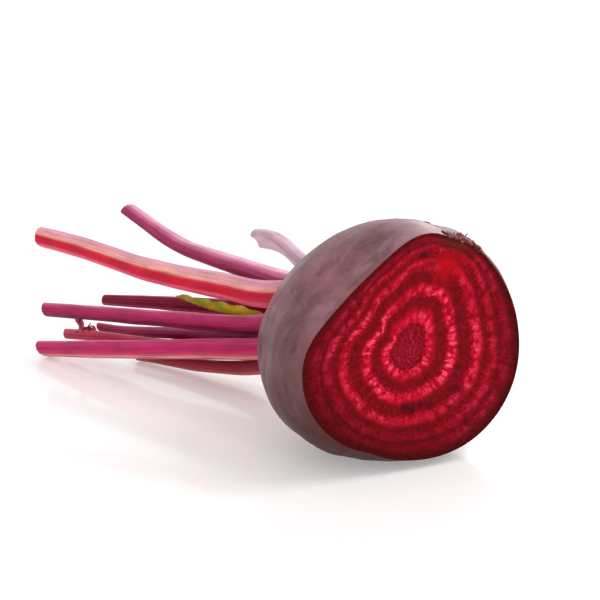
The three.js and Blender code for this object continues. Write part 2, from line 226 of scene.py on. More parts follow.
def root_point(along, mean, angle, grown=0.0):
    """A point on the root's skin, in its own frame along its axis."""
    reach = 0.0
    if mean > 1e-6:
        reach = section_radius(angle, along, mean) + crown_ridges(angle, along) + grown
    shift = shoulder_share(along) * (1.0 - crown_share(along))
    across = reach * math.cos(angle) + shift * SHOULDER_SHIFT[0]
    height = reach * math.sin(angle) + shift * SHOULDER_SHIFT[1]
    return Vector((along, across, height))


ROOT_PLACE = Matrix.Translation((0.0, 0.0, AXIS_HEIGHT)) @ Matrix.Rotation(-AXIS_TILT, 4, "Y")


def front_radius(along):
    return ROOT_RADIUS * math.sqrt(1.0 - (along / ROOT_END) ** 2)


def spline_through(points, share):
    """A smooth line through flat points, at a share of their count."""
    place = share * (len(points) - 1)
    start = min(int(place), len(points) - 2)
    t = place - start
    before = points[max(start - 1, 0)]
    first = points[start]
    second = points[start + 1]
    after = points[min(start + 2, len(points) - 1)]
    result = []
    for a, b, c, d in zip(before, first, second, after):
        v0 = (c - a) * 0.5
        v1 = (d - b) * 0.5
        result.append((2 * b - 2 * c + v0 + v1) * t**3 + (-3 * b + 3 * c - 2 * v0 - v1) * t**2 + v0 * t + b)
    return result


def half_outline():
    """The root's half outline, from the crown to the rim of the cut: [(length so far, along, radius)]."""
    line = [spline_through(CROWN_OUTLINE, i / CROWN_STEPS) for i in range(CROWN_STEPS + 1)]
    for i in range(1, FRONT_STEPS + 1):
        along = CUT_DISTANCE * i / FRONT_STEPS
        line.append([along, front_radius(along)])
    table = []
    length = 0.0
    last = line[0]
    for along, radius in line:
        length += math.hypot(along - last[0], radius - last[1])
        table.append((length, along, max(0.0, radius)))
        last = (along, radius)
    return table


HALF_OUTLINE = half_outline()
HALF_LENGTHS = [row[0] for row in HALF_OUTLINE]


def neighbours(lengths, wanted):
    """The places in a rising list that a length lies between, and its share of the way between them."""
    high = bisect_left(lengths, wanted, 1, len(lengths) - 1)
    low = high - 1
    return low, high, (wanted - lengths[low]) / max(1e-9, lengths[high] - lengths[low])


def outline_at(share):
    """(along, radius) at a share of the half outline's length."""
    low, high, part = neighbours(HALF_LENGTHS, share * HALF_LENGTHS[-1])
    start, end = HALF_OUTLINE[low], HALF_OUTLINE[high]
    return mix(start[1], end[1], part), mix(start[2], end[2], part)


def ring_reach(share, angle):
    """How far out a growth ring lies at an angle, as a share of the way to the rim."""
    freedom = CORNER_SIZE * min(1.0, share / CORNER_FROM) * min(1.0, (1.0 - share) / CORNER_UNTIL)
    corners = 0.0
    for side, width, size in RING_CORNERS:
        corners += size * bump(angle, math.radians(side), math.radians(width))
    return share + freedom * corners


# The leaf stalks: where a foot sits on the crown [right, up], the points its middle line runs through, its
# width at the foot and at the cut tip, the side its channel faces, how far its cut slants, and its colours
# from its lower to its upper edge as it lies. These colours are partly the stalk's own bands and partly
# painted highlight: the upper edges, which face the light, are painted paler.
STALKS = {
    "stalk_1_upper_near": {
        "foot": (-9.9, 7.8),
        "through": [
            (-60.5, -17, 38.6), (-74, -25.2, 38.8), (-102, -42.1, 39.3), (-134, -61.2, 43.2),
            (-149.4, -70.7, 44.3),
        ],
        "width": (10.3, 7.8),
        "channel": (0.1, 0.95, -0.1),
        "slant": 0.1,
        "bands": [
            (0.0, (220, 96, 118)), (0.1, (226, 82, 108)), (0.2, (192, 30, 58)),
            (0.46, (186, 24, 52)), (0.56, (200, 62, 76)), (0.65, (236, 156, 142)),
            (0.78, (224, 150, 152)), (1.0, (198, 142, 162)),
        ],
    },
    "stalk_2_upper_far": {
        "foot": (-0.6, 10.3),
        "through": [
            (-60, -6.2, 41.4), (-77.4, -14.5, 42.5), (-95, -22.6, 43.9), (-110, -29.4, 46),
            (-134, -40.6, 55.1),
        ],
        "width": (9.6, 5.6),
        "channel": (0, 0.5, -0.87),
        "slant": -0.35,
        "bands": [
            (0.0, (104, 34, 64)), (0.24, (140, 48, 86)), (0.62, (158, 62, 98)),
            (0.82, (186, 104, 136)), (1.0, (216, 160, 184)),
        ],
    },
    "stalk_3_back": {
        "foot": (10.7, 4.6),
        "through": [
            (-64, 10.6, 37.7), (-90, 10.6, 39.4), (-104, 11.1, 41.3), (-116, 11.8, 40.9),
            (-133.2, 13, 37.8),
        ],
        "width": (10, 8.6),
        "channel": (0, -0.8, -0.6),
        "slant": 0.2,
        "bands": [(0.0, (180, 146, 162)), (0.5, (176, 138, 156)), (1.0, (192, 160, 176))],
    },
    "stalk_4_middle_near": {
        "foot": (-13.6, -1),
        "through": [(-60.6, -19.9, 27.9), (-90.5, -39.4, 23.8), (-120, -58.9, 20.3), (-141, -72.3, 17.7)],
        "width": (7.8, 5.7),
        "channel": (0, 0.9, 0.3),
        "slant": 0.1,
        "bands": [
            (0.0, (92, 16, 46)), (0.2, (132, 30, 70)), (0.5, (160, 36, 80)), (0.82, (176, 62, 104)),
            (1.0, (224, 150, 178)),
        ],
    },
    "stalk_5_middle_far": {
        "foot": (-2.6, 2.4),
        "through": [(-64.6, -9.4, 29.8), (-79, -17.2, 28), (-104.6, -33.2, 24.9), (-134.4, -51, 20.5)],
        "width": (9.2, 4.2),
        "channel": (0.3, 0.9, 0.1),
        "slant": -0.15,
        "bands": [
            (0.0, (156, 66, 108)), (0.2, (128, 22, 62)), (0.6, (112, 4, 44)), (0.85, (128, 20, 62)),
            (1.0, (176, 88, 126)),
        ],
    },
    "stalk_6_low_far": {
        "foot": (-5.4, -4),
        "through": [
            (-60, -13.4, 23.2), (-68, -18, 21), (-89, -29.6, 17.3), (-124, -48, 10.8),
            (-134, -53.6, 10),
        ],
        "width": (7.6, 3.4),
        "channel": (0.2, 0.9, 0.2),
        "slant": 0.3,
        "bands": [(0.0, (118, 22, 58)), (0.35, (136, 32, 72)), (0.7, (158, 64, 106)), (1.0, (186, 116, 152))],
    },
    "stalk_7_low_near": {
        "foot": (-11.4, -10.4),
        "through": [(-59.2, -20.4, 19.5), (-80, -36.9, 15.6), (-99, -51.1, 11.5), (-138.2, -74.8, 3.15)],
        "width": (10.6, 6.8),
        "channel": (0, 0.8, 0.55),
        "slant": 0.45,
        "bands": [
            (0.0, (150, 60, 66)), (0.06, (226, 136, 134)), (0.13, (196, 92, 112)),
            (0.26, (178, 50, 92)), (0.5, (175, 36, 90)), (0.8, (186, 60, 106)),
            (0.93, (216, 108, 146)), (1.0, (228, 152, 180)),
        ],
    },
    "stalk_8_under": {
        "foot": (-1, -12.6),
        "through": [
            (-60, -7.6, 12.6), (-73, -14.8, 7.8), (-89.5, -26.2, 4.7), (-104, -35.2, 3.3),
            (-117.5, -43.8, 2.5),
        ],
        "width": (11.2, 5),
        "channel": (-0.1, 0.5, 0.86),
        "slant": 0.1,
        "bands": [(0.0, (164, 80, 84)), (0.3, (148, 48, 62)), (0.6, (130, 32, 50)), (1.0, (108, 22, 38))],
    },
    "stalk_9_low_middle": {
        "foot": (2.2, -6.2),
        "through": [
            (-60, -7.2, 18.6), (-70, -15.4, 15.7), (-80, -24, 13.7), (-100, -40, 11.7),
            (-127, -57, 9.2), (-140.6, -64.8, 7.1),
        ],
        "width": (7, 4.8),
        "channel": (0, 0.7, 0.7),
        "slant": -0.2,
        "bands": [(0.0, (160, 46, 74)), (0.5, (182, 66, 92)), (1.0, (198, 104, 116))],
    },
}
# How far inside the crown's top a stalk starts, and how far past it the stalk still runs straight
STALK_ROOT = 7.0
STALK_NECK = 2.5
# The side that a stalk's bands run towards. The paler colours on the side facing it are partly painted
# highlight.
BAND_AND_HIGHLIGHT_SIDE = Vector((-0.265, 0.124, 0.956))  # the upper edge of a stalk, seen from in front and a little above

YOUNG_LEAF = {
    "foot": (-9.6, 1.4),
    "through": [
        (-55.2, -15, 30.8), (-67, -21.3, 28.9), (-77, -26.9, 28.7), (-87, -31.9, 29.4),
        (-94.7, -36.1, 30.8),
    ],
    "half_width": 3.3,
    "fold": math.radians(38),
    "channel": (0.25, 0.75, 0.6),
}

# Stumps of older leaves round the neck: the side each stands on, its width at foot and tip, and its length
LEAF_STUMPS = [
    (350, 8.6, 7.6, 3.0), (318, 9.6, 8.2, 1.4), (8, 8.2, 7.2, 2.2), (62, 9.2, 8.0, 2.8),
    (295, 8.4, 7.4, 1.0),
]


def crown_point(foot, along):
    return ROOT_PLACE @ Vector((along, foot[0], foot[1]))


class StalkLine:
    """The middle line of a stalk, a centripetal curve through its points that is read by share of length."""

    STEPS = 40

    def __init__(self, stalk):
        crown = (CROWN_TOP + STALK_ROOT, CROWN_TOP - STALK_NECK)
        points = [crown_point(stalk["foot"], along) for along in crown]
        points += [Vector(p) for p in stalk["through"]]
        self.points = []
        for i in range(len(points) - 1):
            before = points[i - 1] if i else points[0] * 2 - points[1]
            after = points[i + 2] if i + 2 < len(points) else points[-1] * 2 - points[-2]
            for k in range(self.STEPS):
                self.points.append(self.between(before, points[i], points[i + 1], after, k / self.STEPS))
        self.points.append(points[-1])
        self.lengths = [0.0]
        for a, b in zip(self.points, self.points[1:]):
            self.lengths.append(self.lengths[-1] + (b - a).length)

    @staticmethod
    def between(p0, p1, p2, p3, t):
        gap0, gap1, gap2 = (max(1e-6, (b - a).length ** 0.5) for a, b in ((p0, p1), (p1, p2), (p2, p3)))
        slope1 = ((p1 - p0) / gap0 - (p2 - p0) / (gap0 + gap1) + (p2 - p1) / gap1) * gap1
        slope2 = ((p2 - p1) / gap1 - (p3 - p1) / (gap1 + gap2) + (p3 - p2) / gap2) * gap1
        cubic = 2 * p1 - 2 * p2 + slope1 + slope2
        square = -3 * p1 + 3 * p2 - 2 * slope1 - slope2
        return p1 + slope1 * t + square * t**2 + cubic * t**3

    def at(self, share):
        """(point, direction) at a share of the line's length."""
        low, high, part = neighbours(self.lengths, clamped(share) * self.lengths[-1])
        point = self.points[low].lerp(self.points[high], part)
        ahead = self.points[min(high + 1, len(self.points) - 1)] - self.points[max(low - 1, 0)]
        return point, ahead.normalized()


def frame_at(line, share, hint):
    """(point, direction, channel side, across) at a share of a line, with the channel towards the hint."""
    point, ahead = line.at(share)
    channel = (hint - ahead * hint.dot(ahead)).normalized()
    return point, ahead, channel, channel.cross(ahead)


# Tools shared by the operators


def leave_edit_mode():
    if bpy.context.mode != "OBJECT":
        bpy.ops.object.mode_set(mode="OBJECT")


def start_clean():
    leave_edit_mode()
    bpy.ops.object.select_all(action="DESELECT")


def make_active(piece):
    start_clean()
    piece.select_set(True)
    bpy.context.view_layer.objects.active = piece


def name_piece(name):
    piece = bpy.context.object
    piece.name = name
    piece.data.name = name
    return piece


def place_in_mesh(piece):
    """Puts the object's place into its mesh, so that the object itself lies at the origin."""
    make_active(piece)
    bpy.ops.object.transform_apply(location=True, rotation=True, scale=True)


def finish_piece(piece, nodes=(), smooth_angle=math.radians(50)):
    make_active(piece)
    bpy.ops.object.shade_smooth_by_angle(angle=smooth_angle)
    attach(piece, BODY)
    if nodes:
        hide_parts(*nodes)


def give_two_finishes(piece, main, other, other_faces):
    """Gives a piece its main finish, and another one on some of its faces."""
    piece.data.materials.append(main)
    piece.data.materials.append(other)
    for face in piece.data.polygons:
        face.material_index = 1 if face.index in other_faces else 0


def join_parts(parts, name, finish):
    """Joins several meshes into one piece with one finish."""
    start_clean()
    for part in parts:
        part.select_set(True)
    bpy.context.view_layer.objects.active = parts[0]
    bpy.ops.object.join()
    piece = name_piece(name)
    piece.data.materials.clear()
    piece.data.materials.append(finish)
    finish_piece(piece)


def drawn_vector(draw, *spans):
    """A vector with one seeded draw for each of its three numbers."""
    return Vector([draw.uniform(*span) for span in spans])


def small_ball(name, draw):
    """A ball that becomes a lump or a strip, and the shift of the pattern that roughens it."""
    start_clean()
    bpy.ops.mesh.primitive_ico_sphere_add(subdivisions=3, radius=1.0)
    return name_piece(name), drawn_vector(draw, (0, 9), (0, 9), (0, 9))


def keep_values(mesh, name, values):
    """Stores one number for each vertex, for a material to read."""
    attribute = mesh.attributes.new(name, "FLOAT", "POINT")
    attribute.data.foreach_set("value", values)


def keep_places(mesh, name, places):
    """Stores a flat place for each vertex as a UV map."""
    layer = mesh.uv_layers.new(name=name)
    flat = []
    for loop in mesh.loops:
        flat.extend(places[loop.vertex_index])
    layer.data.foreach_set("uv", flat)


def colour(red, green, blue, lit=STUDIO_LIGHT):
    """The surface colour that looks like a display colour from 0 to 255 under the studio's light."""
    result = []
    for value in (red, green, blue):
        share = value / 255.0
        light = share / 12.92 if share <= 0.04045 else ((share + 0.055) / 1.055) ** 2.4
        result.append(min(0.9, max(0.001, (light - STUDIO_HAZE) / lit)))
    return (*result, 1.0)


class Finish:
    """A material's node tree, with short ways to add the nodes that the finishes below use."""

    def __init__(self, name, roughness, specular):
        self.material = bpy.data.materials.new(name)
        self.material.use_nodes = True
        self.tree = self.material.node_tree
        self.tree.nodes.clear()
        inputs = {"Roughness": roughness, "Specular IOR Level": specular}
        self.shader = self.add("ShaderNodeBsdfPrincipled", inputs)
        self.add("ShaderNodeOutputMaterial", {"Surface": self.shader.outputs["BSDF"]})

    def add(self, kind, inputs=None, **settings):
        """Adds a node, and feeds its sockets."""
        made = self.tree.nodes.new(kind)
        for key, value in settings.items():
            setattr(made, key, value)
        for socket, value in (inputs or {}).items():
            self.feed(made.inputs[socket], value)
        return made

    def feed(self, target, value):
        """Joins another node's socket, or sets a plain number or colour."""
        if isinstance(value, bpy.types.NodeSocket):
            self.tree.links.new(value, target)
        else:
            target.default_value = value

    def object_place(self, scale=(1, 1, 1), turn=(0, 0, 0)):
        source = self.add("ShaderNodeTexCoord").outputs["Object"]
        mapping = self.add("ShaderNodeMapping", {"Vector": source, "Scale": scale, "Rotation": turn})
        return mapping.outputs["Vector"]

    def mapped_place(self, name, scale=(1, 1, 1), move=(0, 0, 0)):
        source = self.add("ShaderNodeUVMap", uv_map=name).outputs["UV"]
        mapping = self.add("ShaderNodeMapping", {"Vector": source, "Scale": scale, "Location": move})
        return mapping.outputs["Vector"]

    def parts_of(self, place):
        return self.add("ShaderNodeSeparateXYZ", {"Vector": place}).outputs

    def value_of(self, name):
        return self.add("ShaderNodeAttribute", attribute_name=name).outputs["Fac"]

    def clouds(self, place, scale, detail=4.0, roughness=0.55):
        inputs = {"Vector": place, "Scale": scale, "Detail": detail, "Roughness": roughness}
        return self.add("ShaderNodeTexNoise", inputs).outputs["Fac"]

    def cells(self, place, scale):
        return self.add("ShaderNodeTexVoronoi", {"Vector": place, "Scale": scale}).outputs["Distance"]

    def maths(self, operation, first, second=0.0, clamped=False):
        made = self.add("ShaderNodeMath", {0: first, 1: second}, operation=operation, use_clamp=clamped)
        return made.outputs["Value"]

    def times(self, first, *others):
        for other in others:
            first = self.maths("MULTIPLY", first, other)
        return first

    def shaken(self, value, pattern, size, clamped=False):
        """A value that a pattern moves up and down by as much as half the size."""
        move = self.times(self.maths("SUBTRACT", pattern, 0.5), size)
        return self.maths("ADD", value, move, clamped)

    def spread(self, value, low, high, new_low=0.0, new_high=1.0):
        """Stretches a range of values to another, soft at both ends."""
        inputs = {"Value": value, "From Min": low, "From Max": high, "To Min": new_low, "To Max": new_high}
        return self.add("ShaderNodeMapRange", inputs, interpolation_type="SMOOTHSTEP").outputs["Result"]

    def ramp(self, value, stops):
        made = self.add("ShaderNodeValToRGB", {"Fac": value})
        band = made.color_ramp
        while len(band.elements) > 1:
            band.elements.remove(band.elements[-1])
        band.elements[0].position = stops[0][0]
        band.elements[0].color = stops[0][1]
        for position, shade in stops[1:]:
            band.elements.new(position).color = shade
        return made.outputs["Color"]

    def blend(self, share, first, second, way="MIX"):
        made = self.add(
            "ShaderNodeMix", {"Factor": share, "A": first, "B": second}, data_type="RGBA", blend_type=way
        )
        return made.outputs["Result"]

    def dimmed(self, base, *factors):
        """A colour that is multiplied by one factor after another."""
        for factor in factors:
            base = self.blend(1.0, base, factor, "MULTIPLY")
        return base

    def layers(self, base, patterns, table):
        """Lays colours over a base: (pattern, where it sets in, where it is full, strength, colour)."""
        for name, start, full, strength, shade in table:
            base = self.blend(self.spread(patterns[name], start, full, 0.0, strength), base, colour(*shade))
        return base

    def marks(self, base, values, patterns, table):
        """Lays colours over a base: (value, pattern, the pattern's range, the strengths there, colour)."""
        for name, pattern, span, strengths, shade in table:
            share = self.times(values[name], self.spread(patterns[pattern], *span, *strengths))
            base = self.blend(share, base, colour(*shade))
        return base

    def relief(self, patterns, table):
        """Small bumps that lie on each other: (pattern, strength, height in metres)."""
        normal = None
        for name, strength, height in table:
            inputs = {"Strength": strength, "Distance": height, "Height": patterns[name]}
            if normal is not None:
                inputs["Normal"] = normal
            normal = self.add("ShaderNodeBump", inputs).outputs["Normal"]
        return normal

    def paint(self, base, normal=None, roughness=None):
        for socket, value in (("Base Color", base), ("Normal", normal), ("Roughness", roughness)):
            if value is not None:
                self.feed(self.shader.inputs[socket], value)
        return self.material


# What a user would change


class BeetRootSettings(bpy.types.PropertyGroup):
    """Colours and relief of the swollen root."""

    skin_colour: FloatVectorProperty(
        name="Skin", description="Main skin colour", subtype="COLOR", size=4, default=colour(134, 80, 88)
    )
    skin_shade: FloatVectorProperty(
        name="Skin shade", description="Darker patches", subtype="COLOR", size=4, default=colour(98, 62, 68)
    )
    cork_colour: FloatVectorProperty(
        name="Cork", description="Dry corky patches", subtype="COLOR", size=4, default=colour(126, 102, 90)
    )
    ring_colour: FloatVectorProperty(
        name="Ring", description="Bright growth rings", subtype="COLOR", size=4, default=colour(250, 66, 104)
    )
    flesh_colour: FloatVectorProperty(
        name="Flesh", description="Bands between rings", subtype="COLOR", size=4, default=colour(120, 8, 38)
    )
    rim_colour: FloatVectorProperty(
        name="Rim", description="Outermost flesh band", subtype="COLOR", size=4, default=colour(98, 18, 28)
    )
    ring_relief: FloatProperty(
        name="Ring relief", description="Depth of bands between the rings", unit="LENGTH", default=0.25 * MM
    )
    skin_relief: FloatProperty(
        name="Skin relief", description="Height of the skin's small lumps", unit="LENGTH", default=0.16 * MM
    )


class LeafStalkSettings(bpy.types.PropertyGroup):
    """Fineness and ribs of the leaf stalks."""

    sides: IntProperty(name="Sides", description="Points round a stalk", default=44, min=12, max=96)
    steps: IntProperty(name="Steps", description="Cross sections along a stalk", default=64, min=8, max=200)
    rib_height: FloatProperty(
        name="Rib height", description="Height of ribs on a stalk's back", unit="LENGTH", default=0.14 * MM
    )


class YoungLeafSettings(bpy.types.PropertyGroup):
    """Colours and thickness of the young leaf."""

    green: FloatVectorProperty(
        name="Green", description="Colour of the blade", subtype="COLOR", size=4, default=colour(130, 152, 12)
    )
    yellow: FloatVectorProperty(
        name="Yellow", description="Edges of the blade", subtype="COLOR", size=4, default=colour(214, 176, 16)
    )
    thickness: FloatProperty(
        name="Thickness", description="Thickness of the blade", unit="LENGTH", default=0.6 * MM
    )


class StudioSettings(bpy.types.PropertyGroup):
    """Floor, lights and camera."""

    floor_colour: FloatVectorProperty(
        name="Floor", description="Floor colour", subtype="COLOR", size=4, default=(0.8, 0.775, 0.77, 1.0)
    )
    floor_glow: FloatProperty(
        name="Floor glow", description="Light that the floor gives off itself", default=0.28
    )
    back_power: FloatProperty(
        name="Back light", description="Power of the light behind", unit="POWER", default=1.7
    )
    top_power: FloatProperty(
        name="Top light", description="Power of the light overhead", unit="POWER", default=3.6
    )
    side_power: FloatProperty(
        name="Side light", description="Power of the light beside", unit="POWER", default=0.7
    )
    sky_strength: FloatProperty(name="Sky", description="Strength of the pale surroundings", default=0.84)
    elevation: FloatProperty(
        name="Elevation", description="Camera height", subtype="ANGLE", default=math.radians(17)
    )
    azimuth: FloatProperty(
        name="Azimuth", description="Camera side angle", subtype="ANGLE", default=math.radians(65)
    )
    distance: FloatProperty(
        name="Distance", description="Camera to the root", unit="LENGTH", default=500 * MM
    )


# The patterns of the skin: the stretch of its place, then the scale, detail and roughness of its clouds
SKIN_CLOUDS = {
    "blotches": ((1, 1, 1), 58.0, 6.0, 0.6),
    "broad": ((1, 1, 1), 21.0, 3.0, 0.5),
    "bands": ((3.4, 0.35, 0.35), 130.0, 5.0, 0.65),
    "mottle": ((1.3, 0.8, 0.8), 120.0, 4.0, 0.6),
    "rust": ((1.3, 0.8, 0.8), 34.0, 3.0, 0.5),
    "grain": ((1.6, 0.7, 0.7), 900.0, 3.0, 0.6),
}
SKIN_LAYERS = [
    ("broad", 0.46, 0.58, 0.6, (108, 88, 88)),
    ("mottle", 0.48, 0.66, 0.65, (164, 116, 128)),
    ("mottle", 0.46, 0.36, 0.6, (94, 52, 64)),
    ("bands", 0.46, 0.66, 0.25, (150, 100, 104)),
    ("bands", 0.44, 0.3, 0.25, (98, 56, 60)),
    ("rust", 0.52, 0.7, 0.4, (122, 72, 60)),
]
SKIN_DOTS = [("dots", 0.16, 0.05, 0.28, (166, 126, 120))]
SKIN_RELIEF = [("blotches", 0.5, 0.0005), ("bands", 0.55, 0.00035), ("grain", 0.3, 0.00012)]

# What the mesh's own values add to the skin: the value, its strength and its colour
SKIN_MARKINGS = [
    ("cut_edge", 0.5, (150, 78, 88)),
    # painted shade: dark maroon painted on the right side of the skin by the rim
    ("far_rim", 1.0, (96, 24, 36)),
    # painted shade: the skin darkened towards the bottom
    ("low", 0.95, (72, 18, 22)),
    # painted highlight: a pale colour painted on the skin near the cut, where the light glances off
    ("sheen", 0.5, (198, 158, 168)),
    ("scar", 1.0, (48, 20, 22)),
]


def skin_finish(settings):
    """Dusty purple-brown skin with blotches, faint bands round the root, corky patches and pale dots."""
    made = Finish("beet_skin", 0.38, 0.5)
    turned = (0.0, AXIS_TILT, 0.0)
    patterns = {"dots": made.cells(made.object_place((1, 0.55, 0.55), turned), 340.0)}
    for name, (stretch, *clouds) in SKIN_CLOUDS.items():
        patterns[name] = made.clouds(made.object_place(stretch, turned), *clouds)
    values = {name: made.value_of(name) for name in ("cork", "cut_edge", "far_rim", "sheen", "scar")}
    high = made.parts_of(made.object_place())["Z"]
    # Painted shade: the skin is darkened towards the bottom, by its height above the floor
    values["low"] = made.spread(high, 0.0, 0.056, 1.0, 0.0)
    torn = made.spread(patterns["bands"], 0.25, 0.6, 0.5, 1.0)
    values["scar"] = made.maths("MULTIPLY", values["scar"], torn, True)
    shades = (tuple(settings.skin_shade), tuple(settings.skin_colour), colour(152, 96, 100))
    base = made.ramp(patterns["blotches"], list(zip((0.34, 0.5, 0.64), shades)))
    base = made.layers(base, patterns, SKIN_LAYERS)
    cork = made.times(values["cork"], made.spread(patterns["blotches"], 0.35, 0.62))
    base = made.blend(cork, base, tuple(settings.cork_colour))
    base = made.layers(base, patterns, SKIN_DOTS)
    for name, strength, shade in SKIN_MARKINGS:
        base = made.blend(made.times(values[name], strength), base, colour(*shade))
    # Less shine where the shade by the rim is painted
    rim_shade = made.spread(values["far_rim"], 0.1, 0.6, 1.0, 0.0)
    shine = made.times(made.spread(high, 0.012, 0.06, 0.15, 0.6), rim_shade)
    shine = made.maths("ADD", shine, made.times(values["sheen"], 0.5))
    made.feed(made.shader.inputs["Specular IOR Level"], shine)
    normal = made.relief(patterns, SKIN_RELIEF)
    return made.paint(base, normal, made.spread(patterns["blotches"], 0.3, 0.7, 0.36, 0.54))


# The patterns of the flesh: the scale, the detail and the roughness of its clouds
FLESH_CLOUDS = {
    "waver": (7.0, 3.0, 0.55),
    "fine": (40.0, 3.0, 0.65),
    "broad": (2.6, 2.0, 0.5),
    "grain": (110.0, 2.0, 0.6),
}
FLESH_LAYERS = [
    ("rays", 0.5, 0.7, 0.3, (214, 18, 50)),
    ("rays", 0.46, 0.3, 0.35, (84, 8, 20)),
    ("grain", 0.44, 0.3, 0.35, (72, 8, 18)),
]
FLESH_MARKS = [
    ("core", "fine", (0.46, 0.66), (0.0, 0.7), (186, 48, 76)),
    ("glow", "rays", (0.3, 0.55), (0.2975, 0.8075), (196, 6, 34)),
    ("gloom", "grain", (0.3, 0.62), (0.9, 0.27), (92, 8, 24)),
]
FLESH_SPOTS = [
    ("fleck", "grain", (0.46, 0.6), (1.0, 0.35), (44, 14, 16)),
    ("scar", "fine", (0.3, 0.6), (0.95, 0.5), (76, 46, 38)),
]
FLESH_RELIEF = [("rays", 0.25, 0.0003), ("beads", 0.3, 0.0002), ("grain", 0.4, 0.0002)]


def flesh_finish(settings):
    """Moist crimson flesh: beaded bright growth rings on dark bands, with fine streaks running outwards."""
    made = Finish("beet_flesh", 0.42, 0.12)
    made.shader.inputs["IOR"].default_value = 1.3
    place = made.mapped_place("ring_place", (2, 2, 2), (-1, -1, 0))
    reach = made.add("ShaderNodeVectorMath", {0: place}, operation="LENGTH").outputs["Value"]
    parts = made.parts_of(place)
    angle = made.maths("ARCTAN2", parts["Y"], parts["X"])

    def polar(turns, outwards):
        inputs = {"X": made.times(angle, turns), "Y": made.times(reach, outwards)}
        return made.add("ShaderNodeCombineXYZ", inputs).outputs["Vector"]

    patterns = {name: made.clouds(place, *clouds) for name, clouds in FLESH_CLOUDS.items()}
    patterns["rays"] = made.clouds(polar(20.0, 4.0), 1.3, 4.0, 0.65)
    inner = made.cells(polar(6.0, 15.0), 1.0)
    outer = made.cells(polar(11.0, 15.0), 1.0)
    beads = made.blend(made.spread(reach, 0.27, 0.33), inner, outer)
    patterns["beads"] = beads
    values = {name: made.value_of(name) for name in ("glow", "gloom", "fleck", "scar")}
    values["core"] = made.spread(reach, 0.1, 0.16, 1.0, 0.0)

    ring = made.shaken(made.shaken(reach, patterns["waver"], 0.06), patterns["fine"], 0.1)
    bright = made.times(
        made.ramp(ring, ring_mask_stops()),
        made.spread(beads, 0.68, 0.26),
        made.spread(values["gloom"], 0.1, 0.6, 1.0, 0.35),
        made.spread(patterns["broad"], 0.38, 0.56, 0.35, 1.15),
    )
    rightward = made.maths("COSINE", angle)
    sideways = made.spread(made.maths("ABSOLUTE", rightward), 0.1, 0.8, 0.36, 1.12)
    bright = made.maths("MULTIPLY", bright, sideways, True)
    accent = made.times(made.spread(rightward, 0.4, 0.85), made.spread(reach, 0.43, 0.5, 0.45, -0.4))
    bright = made.maths("MULTIPLY", bright, made.maths("ADD", accent, 1.0), True)
    # Painted highlight: pale pink glints painted on the bright beads of the rings, for the moist shine of the
    # flesh
    painted_glint = made.times(
        bright, made.spread(patterns["rays"], 0.52, 0.68), made.spread(reach, 0.5, 0.7, 1.0, 0.45), 0.9
    )
    gaps = made.times(made.spread(beads, 0.55, 0.8), made.spread(reach, 0.16, 0.24, 0.0, 0.45))

    base = made.blend(bright, made.ramp(ring, flesh_bands(settings)), tuple(settings.ring_colour))
    base = made.blend(painted_glint, base, colour(255, 168, 186))
    base = made.blend(gaps, base, colour(92, 4, 20))
    base = made.dimmed(base, made.spread(patterns["fine"], 0.32, 0.68, 0.8, 1.45))
    base = made.layers(base, patterns, FLESH_LAYERS)
    base = made.marks(base, values, patterns, FLESH_MARKS)
    to_rim = made.spread(reach, 0.62, 1.0, 1.0, 0.72)
    base = made.dimmed(base, to_rim, made.spread(values["gloom"], 0.1, 0.8, 1.0, 0.8))
    base = made.marks(base, values, patterns, FLESH_SPOTS)
    normal = made.relief(patterns, FLESH_RELIEF)
    return made.paint(base, normal, made.spread(patterns["fine"], 0.3, 0.7, 0.34, 0.52))


def flesh_bands(settings):
    """The flesh colours from the middle to the rim, under the bright beads of the rings."""
    dark = tuple(settings.flesh_colour)
    stops = [(0.0, colour(142, 26, 46)), (0.1, colour(132, 18, 38)), (0.14, colour(128, 14, 34))]
    for share, warmth in zip(RING_SHARES, RING_WARMTH):
        warm = tuple(mix(a, b, warmth) for a, b in zip(dark, colour(208, 22, 52)))
        stops.append((share - min(0.07, 0.24 * share), dark))
        stops.append((share - 0.022, warm))
        stops.append((share + 0.026, warm))
        stops.append((share + 0.074 - 0.024 * share, dark))
    stops.append((0.972, tuple(settings.rim_colour)))
    stops.append((1.0, colour(84, 22, 32)))
    return sorted(stops, key=lambda stop: stop[0])


def ring_mask_stops():
    """White on each growth ring and black between, fainter towards the rim."""
    black = (0.0, 0.0, 0.0, 1.0)
    stops = [(0.0, black)]
    for share, strength in zip(RING_SHARES, RING_BRIGHTNESS):
        half_width = min(RING_HALF_WIDTH, 0.17 * share)
        stops.append((share - half_width, black))
        stops.append((share, (strength, strength, strength, 1.0)))
        stops.append((share + half_width, black))
    return stops


# The patterns of a stalk: how its round and long places are stretched, then scale, detail and roughness
STALK_CLOUDS = {
    "streaks": ((9, 0.7, 1), 3.2, 4.0, 0.6),
    "threads": ((30, 1.3, 1), 2.6, 3.0, 0.6),
    "patches": ((2, 2.2, 1), 2.2, 3.0, 0.5),
}


def stalk_finish(name, bands):
    """Smooth juicy stalk with coloured bands that run its whole length, broken by fine streaks."""
    made = Finish(name, 0.36, 0.22)
    patterns = {}
    for pattern, (stretch, *clouds) in STALK_CLOUDS.items():
        patterns[pattern] = made.clouds(made.mapped_place("stalk_place", stretch), *clouds)
    # Partly painted highlight: the colour runs through the bands by the way each point faces, so the upper
    # side, which faces the light, is painted paler
    height = made.shaken(made.value_of("height"), patterns["streaks"], 0.16)
    height = made.shaken(height, patterns["patches"], 0.06, True)
    base = made.ramp(height, [(share, colour(*shade, lit=STALK_LIGHT)) for share, shade in bands])
    threads = made.spread(patterns["threads"], 0.3, 0.7, 0.74, 1.2)
    base = made.dimmed(base, threads, made.spread(patterns["patches"], 0.3, 0.7, 0.86, 1.1))
    base = made.blend(made.times(made.value_of("foot"), 0.5), base, colour(150, 62, 80, lit=STALK_LIGHT))
    return made.paint(base, made.relief(patterns, [("threads", 0.4, 0.0002), ("streaks", 0.3, 0.0004)]))


